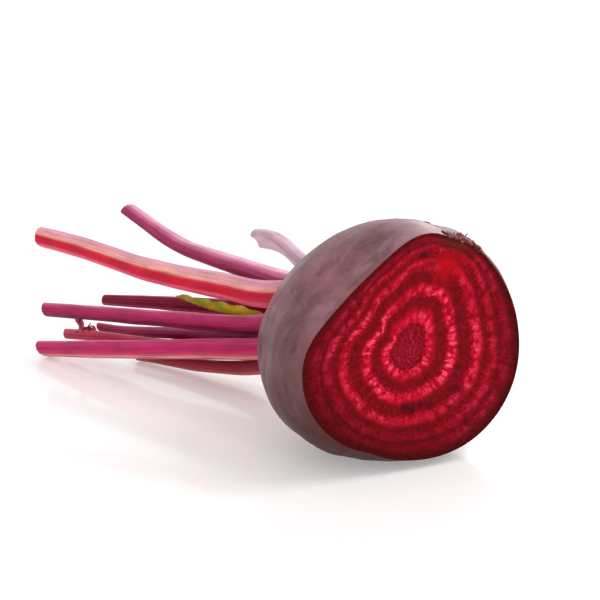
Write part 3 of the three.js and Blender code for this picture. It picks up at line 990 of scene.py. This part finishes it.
def stalk_cut_finish():
    """The cut end of a stalk: pale pink pith with dark dots where the veins run."""
    made = Finish("stalk_cut", 0.5, 0.4)
    place = made.object_place()
    patterns = {"dots": made.cells(place, 620.0), "pith": made.clouds(place, 500.0, 3.0, 0.6)}
    base = made.ramp(patterns["pith"], [(0.3, colour(206, 96, 116)), (0.7, colour(238, 168, 170))])
    base = made.layers(base, patterns, [("dots", 0.34, 0.12, 0.75, (150, 30, 62))])
    return made.paint(base, made.relief(patterns, [("dots", 0.5, 0.0003)]))


def leaf_finish(settings):
    """Young leaf: green blade, yellow towards the edge, reddish midrib and veins."""
    made = Finish("young_leaf", 0.42, 0.4)
    patches = made.clouds(made.object_place(), 150.0, 4.0, 0.6)
    patterns = {"veins": made.clouds(made.mapped_place("leaf_place", (3, 22, 1)), 2.4, 3.0, 0.6)}
    base = made.ramp(patches, [(0.42, tuple(settings.green)), (0.62, tuple(settings.yellow))])
    base = made.blend(made.times(made.value_of("edge"), 0.35), base, tuple(settings.yellow))
    base = made.blend(made.value_of("rib"), base, colour(172, 52, 74))
    base = made.layers(base, patterns, [("veins", 0.55, 0.7, 0.4, (186, 150, 30))])
    return made.paint(base, made.relief(patterns, [("veins", 0.5, 0.0004)]))


def ragged_finish(name, shine, place, stops, patch):
    """A rough broken surface: clouds between colours, with patches of another colour over them."""
    made = Finish(name, *shine)
    stretch, *clouds = place
    patterns = {"grain": made.clouds(made.object_place(stretch), *clouds)}
    scale, start, full, strength, shade, relief = patch
    patterns["patches"] = made.clouds(made.object_place(), scale, 3.0, 0.55)
    base = made.ramp(patterns["grain"], [(share, colour(*tone)) for share, tone in stops])
    base = made.layers(base, patterns, [("patches", start, full, strength, shade)])
    return made.paint(base, made.relief(patterns, [("grain", *relief)]))


def stump_finish():
    """Dry stumps and torn fibres: brown outside, pinkish where they tore."""
    stops = [(0.34, (52, 22, 24)), (0.52, (112, 46, 50)), (0.7, (196, 128, 120))]
    patch = (160.0, 0.46, 0.62, 0.7, (138, 42, 54), (0.7, 0.0005))
    return ragged_finish("dry_stump", (0.62, 0.3), ((0.4, 1.4, 1.4), 420.0, 4.0, 0.6), stops, patch)


def torn_finish():
    """Torn stalk flesh: pinkish red with pale threads and dark folds."""
    stops = [(0.34, (130, 24, 50)), (0.5, (192, 62, 84)), (0.66, (232, 150, 152))]
    patch = (260.0, 0.5, 0.64, 0.6, (150, 36, 62), (0.5, 0.0003))
    return ragged_finish("torn_stalk", (0.5, 0.25), ((1, 1, 1), 700.0, 3.0, 0.6), stops, patch)


def flecks_at(share, angle):
    """How strongly the dark flecks show at a place on the cut face."""
    total = 0.0
    for side, out, size in FLECKS:
        gap = math.hypot(share - out, turn_between(angle, math.radians(side)) * out)
        total += math.exp(-((gap / size) ** 2))
    return FLECK_STRENGTH * min(1.0, total)


def ring_height(share):
    """0 on a ring and -1 in the dark bands between."""
    nearest = min(abs(share - ring) for ring in RING_SHARES)
    if share > RING_SHARES[-1]:
        sunk = smooth_share(nearest, 0.5 * RING_HALF_WIDTH, 1.1 * RING_HALF_WIDTH)
        return -sunk * smooth_share(1.0 - share, 0.0, 0.03)
    return -smooth_share(nearest, 0.5 * RING_HALF_WIDTH, 1.4 * RING_HALF_WIDTH)


class BEET_OT_swollen_root(bpy.types.Operator):
    """Model the swollen root with its skin, crown and ringed cut face"""

    bl_idname = "beet.swollen_root"
    bl_label = "Swollen Root"

    SEGMENTS = 216
    RINGS = 150
    CUT_LATITUDE = 0.32
    FACE_ROWS = 64
    VALUES = ("cork", "scar", "cut_edge", "glow", "gloom", "far_rim", "sheen", "fleck")

    def execute(self, context):
        settings = context.scene.beet_root
        piece = self.rough_ball()
        self.slice_and_ring(piece)
        self.shape(piece, settings)
        give_two_finishes(piece, skin_finish(settings), flesh_finish(settings), self.flesh_faces)
        finish_piece(piece, ["beet_root"], math.radians(40))
        return {"FINISHED"}

    def rough_ball(self):
        """A unit ball with its poles along X."""
        start_clean()
        bpy.ops.mesh.primitive_uv_sphere_add(
            segments=self.SEGMENTS, ring_count=self.RINGS, radius=1.0, rotation=(0.0, math.radians(90), 0.0)
        )
        piece = name_piece("beet_root_body")
        place_in_mesh(piece)
        return piece

    def slice_and_ring(self, piece):
        """Cuts the ball square to X and draws rows of edges inwards over the cut."""
        make_active(piece)
        bpy.ops.object.mode_set(mode="EDIT")
        bpy.ops.mesh.select_all(action="SELECT")
        middle = (self.CUT_LATITUDE, 0.0, 0.0)
        bpy.ops.mesh.bisect(plane_co=middle, plane_no=(1.0, 0.0, 0.0), use_fill=True, clear_outer=True)
        for left in range(self.FACE_ROWS, 1, -1):
            shrink = (left - 1) / left
            bpy.ops.mesh.extrude_region_move()
            bpy.ops.transform.resize(value=(1.0, shrink, shrink), center_override=middle)
        bpy.ops.mesh.poke()
        bpy.ops.object.mode_set(mode="OBJECT")

    def shape(self, piece, settings):
        """Moves every vertex from the ball to the root, and keeps what the finishes read."""
        mesh = piece.data
        rim = math.sqrt(1.0 - self.CUT_LATITUDE**2)
        full_turn = math.acos(-self.CUT_LATITUDE)
        kept = {name: [0.0] * len(mesh.vertices) for name in self.VALUES}
        places = []
        on_cut = [abs(v.co.x - self.CUT_LATITUDE) < 1e-4 for v in mesh.vertices]
        self.flesh_faces = {face.index for face in mesh.polygons if all(on_cut[i] for i in face.vertices)}
        for vertex, flat in zip(mesh.vertices, on_cut):
            x, y, z = vertex.co
            angle = math.atan2(z, y)
            if flat:
                reach = min(1.0, math.hypot(y, z) / rim)
                point, values = self.face_point(reach, angle, settings.ring_relief / MM)
            else:
                share = math.acos(max(-1.0, min(1.0, -x))) / full_turn
                reach = 2.0 - share
                point, values = self.skin_point(share, angle, settings.skin_relief / MM)
            places.append((0.5 + 0.5 * reach * math.cos(angle), 0.5 + 0.5 * reach * math.sin(angle)))
            for name, value in values.items():
                kept[name][vertex.index] = value
            placed = ROOT_PLACE @ point
            placed.z = max(placed.z, 0.0)
            vertex.co = placed * MM
        keep_places(mesh, "ring_place", places)
        for name, values in kept.items():
            keep_values(mesh, name, values)
        mesh.update()

    @staticmethod
    def face_point(share, angle, relief):
        """A point of the cut face, at a share of the way to its rim, and the values that its finish reads."""
        edge = root_point(CUT_DISTANCE, front_radius(CUT_DISTANCE), angle)
        point = Vector((CUT_DISTANCE, *RING_MIDDLE)).lerp(edge, ring_reach(share, angle))
        point.x += relief * ring_height(share)
        wedge = smooth_share(share, 0.36, 0.6) * (1.0 - smooth_share(share, 0.66, 0.8))
        return point, {
            "cut_edge": 1.0,
            "scar": bump(angle, SCAR_ON_FACE, SCAR_WIDTH) * smooth_share(share, 0.74, 0.86),
            "glow": bump(angle, *GLOW) * wedge,
            "gloom": GLOOM_STRENGTH * bump(angle, *GLOOM) * smooth_share(share, 0.45, 0.85),
            "fleck": flecks_at(share, angle),
        }

    @staticmethod
    def skin_point(share, angle, lumps):
        """A point of the skin, at a share of the half outline, and the values that its finish reads."""
        along, mean = outline_at(share)
        point = root_point(along, mean, angle)
        rough = lumps * noise.fractal(point * FINE_LUMPS, 0.6, 2.1, 5, noise_basis="PERLIN_ORIGINAL")
        rough += COARSE_HEIGHT * noise.noise(point * COARSE_LUMPS + Vector((3.0, 7.0, 1.0)))
        away = Vector((0.0, math.cos(angle), math.sin(angle)))
        point += away * rough * (1.0 - smooth_share(along, 12.0, CUT_DISTANCE))
        near_scar = bump(angle, SCAR_SIDE, SCAR_WIDTH) * smooth_share(along, 7.0, 12.5)
        marks = sum(
            bump(angle, math.radians(side), MARK_ANGLE) * math.exp(-(((along - at) / MARK_LENGTH) ** 2))
            for side, at in SKIN_MARKS
        )
        return point, {
            "cork": smooth_share(-along, 16.0, 38.0),
            "cut_edge": smooth_share(along, CUT_DISTANCE - 2.6, CUT_DISTANCE),
            "far_rim": bump(angle, *PAINTED_FAR_RIM_SHADE) * smooth_share(along, 9.0, 13.5),
            "scar": min(1.0, 0.8 * near_scar + MARK_STRENGTH * marks),
            "sheen": bump(angle, *SHEEN_AND_PAINTED_HIGHLIGHT) * smooth_share(along, -6.0, 6.0),
        }


def stalk_section_point(width, thick, angle, ribs):
    """A point of a stalk's section: a ribbed back below the middle, a shallow channel above."""
    if angle > math.pi:
        rib = 1.0 + ribs * math.cos(13.0 * angle) / (0.5 * width)
        return 0.5 * width * math.cos(angle) * rib, 0.62 * thick * math.sin(angle) * rib
    across = math.cos(angle)
    lip = 0.38 * thick * (1.0 - across**6) * (0.45 + 0.75 * across**2)
    return 0.5 * width * across * (0.96 + 0.04 * across**2), lip


class StalkMaker:
    """Turns a straight rod into a leaf stalk along its own line."""

    # The rows of edges on the cut tip, the thickness as a share of the width at foot and tip, how much
    # narrower the tip's edge is, how deep the cut is dished, and the length that its pattern repeats over
    TIP_ROWS = (0.07, 0.2, 0.25, 0.25)
    THICKNESS = (0.6, 0.74)
    TIP_SHARE = 0.985
    TIP_DISH = 0.35
    PATTERN_LENGTH = 60.0

    def __init__(self, line, width, channel, slant, sides, steps, ribs):
        self.line = line
        self.width = width
        self.channel = Vector(channel)
        self.slant = slant
        self.sides = sides
        self.steps = steps
        self.ribs = ribs

    def rod(self, name):
        """A rod of unit length along +Z, cut into rings, with rows of edges on its far end."""
        start_clean()
        bpy.ops.mesh.primitive_cylinder_add(vertices=self.sides, radius=1.0, depth=1.0, location=(0, 0, 0.5))
        piece = name_piece(name)
        place_in_mesh(piece)
        bpy.ops.object.mode_set(mode="EDIT")
        self.pick(piece, "EDGE", "edges", lambda edge: abs(edge.verts[0].co.z - edge.verts[1].co.z) > 0.5)
        bpy.ops.mesh.subdivide(number_cuts=self.steps - 1)
        self.pick(piece, "FACE", "faces", lambda face: face.normal.z > 0.9)
        for thickness in self.TIP_ROWS:
            bpy.ops.mesh.inset(thickness=thickness, depth=0.0)
        bpy.ops.mesh.poke()
        bpy.ops.object.mode_set(mode="OBJECT")
        return piece

    @staticmethod
    def pick(piece, mode, kind, wanted):
        """Selects the wanted edges or faces of the piece that is being edited."""
        bpy.ops.mesh.select_mode(type=mode)
        bpy.ops.mesh.select_all(action="DESELECT")
        shape = bmesh.from_edit_mesh(piece.data)
        shape.normal_update()
        for item in getattr(shape, kind):
            if wanted(item):
                item.select_set(True)
        shape.select_flush_mode()
        bmesh.update_edit_mesh(piece.data)

    def shape(self, piece, seed):
        """Moves every vertex from the rod to the stalk, and returns the faces of its cut tip."""
        mesh = piece.data
        places, height, foot = [], [], []
        shift = drawn_vector(random.Random(seed), (0, 50), (0, 50), (0, 50))
        tip_faces = {face.index for face in mesh.polygons if face.normal.z > 0.9}
        for vertex in mesh.vertices:
            x, y, z = vertex.co
            share = clamped(z)
            radial = min(1.0, math.hypot(x, y))
            angle = math.atan2(y, x) % (2.0 * math.pi)
            point, ahead, channel, across = frame_at(self.line, share, self.channel)
            eased = share**0.8
            wide = mix(self.width[0], self.width[1], eased)
            thick = wide * mix(*self.THICKNESS, eased)
            at_tip = share > 0.9999
            if at_tip:
                wide *= self.TIP_SHARE
                thick *= self.TIP_SHARE
            u, v = stalk_section_point(wide, thick, angle, self.ribs * smooth_share(share, 0.0, 0.12))
            u *= radial
            v *= radial
            wobble = noise.noise(point * 0.05 + shift) * 0.16
            out = across * u + channel * v
            end = self.slant * u - self.TIP_DISH * (1.0 - radial) if at_tip else 0.0
            lumpy = 1.0 + 0.05 * noise.noise(point * 0.09 + shift * 2 + out * 0.1)
            placed = point + out * lumpy + channel * wobble + ahead * end
            placed.z = max(placed.z, 0.05)
            vertex.co = placed * MM
            places.append((angle / (2.0 * math.pi), share * self.line.lengths[-1] / self.PATTERN_LENGTH))
            # How far each point faces the upper side. The finish paints that side paler, partly as a painted
            # highlight.
            facing = out.normalized().dot(BAND_AND_HIGHLIGHT_SIDE) if out.length > 1e-6 else 0.0
            height.append(0.5 + 0.5 * facing)
            foot.append(1.0 - smooth_share(share, 0.04, 0.2))
        self.keep_round_places(mesh, places)
        keep_values(mesh, "height", height)
        keep_values(mesh, "foot", foot)
        mesh.update()
        return tip_faces

    @staticmethod
    def keep_round_places(mesh, places):
        """A UV map that runs on past the seam, so that no face spans the whole way round."""
        layer = mesh.uv_layers.new(name="stalk_place")
        for face in mesh.polygons:
            around = [places[mesh.loops[i].vertex_index] for i in face.loop_indices]
            high = max(u for u, v in around)
            for i, (u, v) in zip(face.loop_indices, around):
                layer.data[i].uv = (u + 1.0 if high - u > 0.5 else u, v)


class BEET_OT_leaf_stalks(bpy.types.Operator):
    """Model the nine leaf stalks, each along its own line from the crown to its cut tip"""

    bl_idname = "beet.leaf_stalks"
    bl_label = "Leaf Stalks"

    def execute(self, context):
        settings = context.scene.beet_stalks
        cut = stalk_cut_finish()
        for seed, (node, stalk) in enumerate(STALKS.items()):
            maker = StalkMaker(
                StalkLine(stalk),
                stalk["width"],
                stalk["channel"],
                stalk["slant"],
                settings.sides,
                settings.steps,
                settings.rib_height / MM,
            )
            piece = maker.rod(node + "_dressed")
            tip_faces = maker.shape(piece, seed)
            give_two_finishes(piece, stalk_finish(node + "_finish", stalk["bands"]), cut, tip_faces)
            finish_piece(piece, [node])
        return {"FINISHED"}


class BEET_OT_leaf_stumps(bpy.types.Operator):
    """Model the dry stumps of older leaves round the neck"""

    bl_idname = "beet.leaf_stumps"
    bl_label = "Leaf Stumps"

    # How far along the root the stumps stand, and how far out they are at foot and tip
    FOOT_ALONG = -39.0
    FOOT_OUT = 12.5
    TIP_OUT = 15.2
    FIRST_SEED = 40

    def execute(self, context):
        finish = stump_finish()
        for number, (side, foot, tip, length) in enumerate(LEAF_STUMPS, 1):
            angle = math.radians(side)
            outward = Vector((0.0, math.cos(angle), math.sin(angle)))
            start = ROOT_PLACE @ (outward * self.FOOT_OUT + Vector((self.FOOT_ALONG, 0.0, 0.0)))
            end = ROOT_PLACE @ (outward * self.TIP_OUT + Vector((CROWN_TOP - length, 0.0, 0.0)))
            line = StraightLine(start, end)
            maker = StalkMaker(line, (foot, tip), -outward, slant=0.15, sides=32, steps=12, ribs=0.2)
            piece = maker.rod(f"leaf_stump_{number}")
            maker.shape(piece, self.FIRST_SEED + number)
            piece.data.materials.append(finish)
            finish_piece(piece)
        return {"FINISHED"}


class StraightLine:
    """A straight middle line, read as a stalk's line is."""

    def __init__(self, start, end):
        self.start = start
        self.ahead = (end - start).normalized()
        self.lengths = [(end - start).length]

    def at(self, share):
        return self.start + self.ahead * self.lengths[0] * share, self.ahead


class BEET_OT_young_leaf(bpy.types.Operator):
    """Model the young folded leaf between the stalks"""

    bl_idname = "beet.young_leaf"
    bl_label = "Young Leaf"

    ACROSS = 24
    ALONG = 120
    BLADE_FROM = 0.34
    RIB_HALF_WIDTH = 0.9
    WAVE_HEIGHT = 0.4
    QUILT_HEIGHT = 0.1

    def execute(self, context):
        settings = context.scene.beet_leaf
        start_clean()
        bpy.ops.mesh.primitive_grid_add(x_subdivisions=self.ACROSS, y_subdivisions=self.ALONG, size=2.0)
        piece = name_piece("young_leaf_dressed")
        place_in_mesh(piece)
        self.shape(piece)
        thicken = piece.modifiers.new("Thickness", "SOLIDIFY")
        thicken.thickness = settings.thickness
        thicken.offset = 0.0
        make_active(piece)
        bpy.ops.object.modifier_apply(modifier=thicken.name)
        piece.data.materials.append(leaf_finish(settings))
        finish_piece(piece, ["young_leaf"])
        return {"FINISHED"}

    def shape(self, piece):
        mesh = piece.data
        line = StalkLine(YOUNG_LEAF)
        hint = Vector(YOUNG_LEAF["channel"])
        places, edge, rib = [], [], []
        for vertex in mesh.vertices:
            side = vertex.co.x
            share = 0.5 + 0.5 * vertex.co.y
            point, _, channel, across = frame_at(line, share, hint)
            blade = clamped((share - self.BLADE_FROM) / (1.0 - self.BLADE_FROM))
            wide = self.RIB_HALF_WIDTH
            if blade < 1.0:
                wide += YOUNG_LEAF["half_width"] * math.sin(math.pi * blade**0.8) ** 0.8
            wide *= mix(1.0, 0.3, smooth_share(share, 0.96, 1.0))
            out = side * wide
            wave = self.WAVE_HEIGHT * math.sin(share * 46.0 + 3.0 * side) * abs(side) ** 3
            quilt = self.QUILT_HEIGHT * math.sin(share * 150.0 - abs(side) * 6.0) * (1.0 - abs(side))
            lift = abs(out) * math.sin(YOUNG_LEAF["fold"]) + (wave + quilt) * smooth_share(blade, 0.0, 0.2)
            placed = point + across * (out * math.cos(YOUNG_LEAF["fold"])) + channel * lift
            vertex.co = placed * MM
            places.append((0.5 + 0.5 * side, share))
            edge.append(abs(side) ** 3)
            rib.append(math.exp(-((side / 0.12) ** 2)) + 1.0 - smooth_share(share, 0.3, 0.46))
        keep_places(mesh, "leaf_place", places)
        keep_values(mesh, "edge", edge)
        keep_values(mesh, "rib", [min(1.0, value) for value in rib])
        mesh.update()


class BEET_OT_root_scars(bpy.types.Operator):
    """Model the torn scar of a side root on the rim, with small scars along the two rows"""

    bl_idname = "beet.root_scars"
    bl_label = "Root Scars"

    SEED = 7
    LUMPS = 46
    # The small scars: the side and the distance along the root; the fibres: the same with a length
    SMALL_SCARS = [(66, 5.2), (70, 4.4), (72, -6), (68, -15), (66, -24), (244, 4), (246, -9), (243, -20)]
    FIBRES = [(55, 12.4, 1.9), (57.5, 11.8, 1.3), (50, 12.0, 0.9), (61, 12.2, 0.8)]
    FIBRE_THICKNESS = 0.36
    FIBRE_ROOT = 0.6

    def execute(self, context):
        draw = random.Random(self.SEED)
        parts = []
        for i in range(self.LUMPS):
            angle = math.radians(draw.uniform(45, 67))
            along = CUT_DISTANCE - 0.2 - abs(draw.gauss(0.0, 2.2))
            parts.append(self.lump(along, angle, draw.uniform(0.6, 1.5), draw.uniform(0.2, 0.8), draw))
        for side, along in self.SMALL_SCARS:
            angle = math.radians(side)
            parts.append(self.lump(along, angle, draw.uniform(0.8, 1.3), draw.uniform(0.2, 0.45), draw))
        for side, along, length in self.FIBRES:
            parts.append(self.fibre(along, math.radians(side), length, draw))
        join_parts(parts, "root_scars", stump_finish())
        return {"FINISHED"}

    def on_skin(self, along, angle, height):
        along = min(along, CUT_DISTANCE)
        return ROOT_PLACE @ root_point(along, outline_radius(along), angle, height)

    def lump(self, along, angle, radius, tall, draw):
        """A corky lump that hugs the skin: a roughened ball, pressed down."""
        piece, shift = small_ball("root_scar", draw)
        for vertex in piece.data.vertices:
            x, y, z = vertex.co
            rough = 1.0 + 0.45 * noise.noise(vertex.co * 1.6 + shift)
            reach = radius * rough
            point = self.on_skin(along + x * reach, angle + y * reach / ROOT_RADIUS, tall * z * rough)
            vertex.co = point * MM
        piece.data.update()
        return piece

    def fibre(self, along, angle, length, draw):
        """A torn fibre: a thin cone that stands on the skin and leans back."""
        start_clean()
        bpy.ops.mesh.primitive_cone_add(vertices=8, radius1=1.0, radius2=0.4, depth=1.0, location=(0, 0, 0.5))
        piece = name_piece("root_scar")
        place_in_mesh(piece)
        bpy.ops.object.mode_set(mode="EDIT")
        bpy.ops.mesh.select_all(action="SELECT")
        bpy.ops.mesh.subdivide(number_cuts=3)
        bpy.ops.object.mode_set(mode="OBJECT")
        lean = draw.uniform(-0.5, 0.1)
        turn = draw.uniform(-0.012, 0.012)
        for vertex in piece.data.vertices:
            x, y, z = vertex.co
            share = z * z
            back = along + x * self.FIBRE_THICKNESS + lean * share
            round_root = angle + y * self.FIBRE_THICKNESS / ROOT_RADIUS + turn * share
            vertex.co = self.on_skin(back, round_root, z * (length + self.FIBRE_ROOT) - self.FIBRE_ROOT) * MM
        piece.data.update()
        return piece


class BEET_OT_torn_bits(bpy.types.Operator):
    """Model the torn strips at the tips of the lower stalks and the short stub under the middle one"""

    bl_idname = "beet.torn_bits"
    bl_label = "Torn Bits"

    STUB = [(-129.2, -64.7, 18.2), (-128.4, -63.4, 15.2), (-127.0, -62.0, 13.0)]
    SHREDS_START = (-134.6, -62.0, 8.9)
    SHREDS_END = (-128.3, -57.6, 10.9)
    SEED = 19
    SHREDS = 24

    def execute(self, context):
        draw = random.Random(self.SEED)
        parts = [self.strip([Vector(p) for p in self.STUB], 1.25, 0.9, draw)]
        for i in range(self.SHREDS):
            middle = Vector(self.SHREDS_START).lerp(Vector(self.SHREDS_END), i / (self.SHREDS - 1))
            middle += drawn_vector(draw, (-1, 1), (-0.8, 0.8), (-1.1, 1.3))
            way = drawn_vector(draw, (-1, 1), (-0.7, 0.7), (-0.8, 1)).normalized()
            bend = drawn_vector(draw, (-0.5, 0.5), (-0.5, 0.5), (0, 0.6))
            reach = way * draw.uniform(1.0, 2.3)
            points = [middle - reach, middle + bend, middle + reach]
            parts.append(self.strip(points, draw.uniform(0.6, 1.2), 0.4, draw))
        join_parts(parts, "torn_bits", torn_finish())
        return {"FINISHED"}

    def strip(self, points, width, flatness, draw):
        """A ragged strip bent through three points."""
        piece, shift = small_ball("torn_strip", draw)
        along = (points[2] - points[0]).normalized()
        side = along.cross(Vector((draw.uniform(-1, 1), draw.uniform(-1, 1), 0.3))).normalized()
        up = along.cross(side)
        for vertex in piece.data.vertices:
            x, y, z = vertex.co
            rough = 1.0 + 0.6 * noise.noise(vertex.co * 1.9 + shift)
            t = 0.5 + 0.5 * x
            on_line = points[0] * (1 - t) ** 2 + points[1] * 2 * t * (1 - t) + points[2] * t * t
            vertex.co = (on_line + side * y * width * rough + up * z * width * flatness * rough) * MM
        piece.data.update()
        return piece


def outline_radius(along):
    """The root's mean radius at a distance along its axis."""
    if along >= 0.0:
        return front_radius(along)
    previous = CROWN_OUTLINE[0]
    for station in CROWN_OUTLINE[1:]:
        if along <= station[0]:
            part = (along - previous[0]) / (station[0] - previous[0])
            return mix(previous[1], station[1], part)
        previous = station
    return ROOT_RADIUS


class BEET_OT_studio(bpy.types.Operator):
    """Set up the pale glossy floor, the soft lights and the camera"""

    bl_idname = "beet.studio"
    bl_label = "Studio"

    # Where the middle of the root lies from the middle of the picture, and the lens, both in picture widths
    ROOT_IN_PICTURE = (0.145, -0.0633)
    LENS_IN_WIDTHS = 2.6033
    SENSOR = 36.0
    FLOOR_SIZE = 14.0
    FLOOR_LEVEL = -0.0002

    def execute(self, context):
        settings = context.scene.beet_studio
        self.floor(settings)
        self.sky(context.scene, settings)
        self.camera(context.scene, settings)
        self.lamp("back_light", (-0.58, 0.6, 0.5), (0, 0, 0.04), 0.4, settings.back_power)
        self.lamp("top_light", (0.22, 0.64, 0.7), (-0.04, 0, 0.03), 0.55, settings.top_power)
        self.lamp("side_light", (0.75, 0.2, 0.45), (0, 0, 0.04), 0.6, settings.side_power)
        context.scene.view_settings.view_transform = "Standard"
        return {"FINISHED"}

    def floor(self, settings):
        start_clean()
        bpy.ops.mesh.primitive_plane_add(size=self.FLOOR_SIZE, location=(0, 0, self.FLOOR_LEVEL))
        piece = name_piece("floor")
        place_in_mesh(piece)
        made = Finish("floor", 0.12, 0.5)
        made.shader.inputs["Emission Color"].default_value = (1.0, 1.0, 1.0, 1.0)
        made.shader.inputs["Emission Strength"].default_value = settings.floor_glow
        piece.data.materials.append(made.paint(tuple(settings.floor_colour)))

    def sky(self, scene, settings):
        world = bpy.data.worlds.new("pale_surroundings")
        world.use_nodes = True
        background = world.node_tree.nodes["Background"]
        background.inputs["Color"].default_value = (1.0, 1.0, 1.0, 1.0)
        background.inputs["Strength"].default_value = settings.sky_strength
        scene.world = world

    def lamp(self, name, place, aim, size, power):
        start_clean()
        bpy.ops.object.light_add(type="AREA", location=place)
        light = bpy.context.object
        light.name = name
        light.data.shape = "SQUARE"
        light.data.size = size
        light.data.energy = power
        light.rotation_mode = "QUATERNION"
        light.rotation_quaternion = (Vector(aim) - Vector(place)).to_track_quat("-Z", "Y")

    def camera(self, scene, settings):
        level = math.cos(settings.elevation)
        side, ahead = math.sin(settings.azimuth), math.cos(settings.azimuth)
        back = Vector((side * level, -ahead * level, math.sin(settings.elevation)))
        right = Vector((ahead, side, 0.0))
        up = back.cross(right)
        across = self.ROOT_IN_PICTURE[0] / self.LENS_IN_WIDTHS * settings.distance
        height = self.ROOT_IN_PICTURE[1] / self.LENS_IN_WIDTHS * settings.distance
        middle = Vector((0.0, 0.0, AXIS_HEIGHT * MM))
        start_clean()
        bpy.ops.object.camera_add(location=middle + back * settings.distance - right * across - up * height)
        camera = bpy.context.object
        camera.name = "camera"
        camera.rotation_mode = "QUATERNION"
        camera.rotation_quaternion = Matrix((right, up, back)).transposed().to_quaternion()
        camera.data.sensor_width = self.SENSOR
        camera.data.lens = self.SENSOR * self.LENS_IN_WIDTHS
        camera.data.clip_start = 0.01
        camera.data.clip_end = 50.0
        scene.camera = camera


class BEET_PT_sidebar(bpy.types.Panel):
    """Lists the beetroot's pieces and settings"""

    bl_idname = "BEET_PT_sidebar"
    bl_label = "Beetroot"
    bl_space_type = "VIEW_3D"
    bl_region_type = "UI"
    bl_category = "Beetroot"

    def draw(self, context):
        layout = self.layout
        for operator in PIECES:
            layout.operator(operator.bl_idname)
        for name, group in SETTINGS.items():
            box = layout.box()
            for key in group.__annotations__:
                box.prop(getattr(context.scene, name), key)


SETTINGS = {
    "beet_root": BeetRootSettings,
    "beet_stalks": LeafStalkSettings,
    "beet_leaf": YoungLeafSettings,
    "beet_studio": StudioSettings,
}
PIECES = [
    BEET_OT_swollen_root,
    BEET_OT_root_scars,
    BEET_OT_leaf_stalks,
    BEET_OT_leaf_stumps,
    BEET_OT_young_leaf,
    BEET_OT_torn_bits,
    BEET_OT_studio,
]
CLASSES = [*SETTINGS.values(), *PIECES, BEET_PT_sidebar]


def register():
    for item in CLASSES:
        bpy.utils.register_class(item)
    for name, group in SETTINGS.items():
        setattr(bpy.types.Scene, name, PointerProperty(type=group))


def unregister():
    for name in SETTINGS:
        delattr(bpy.types.Scene, name)
    for item in reversed(CLASSES):
        bpy.utils.unregister_class(item)


def corners(box):
    return [list(corner) for corner in box]


def main():
    register()
    bpy.ops.beet.swollen_root()
    bpy.ops.beet.root_scars()
    bpy.ops.beet.leaf_stalks()
    bpy.ops.beet.leaf_stumps()
    bpy.ops.beet.young_leaf()
    bpy.ops.beet.torn_bits()
    bpy.ops.beet.studio()
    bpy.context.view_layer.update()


if __name__ == "__main__":
    main()
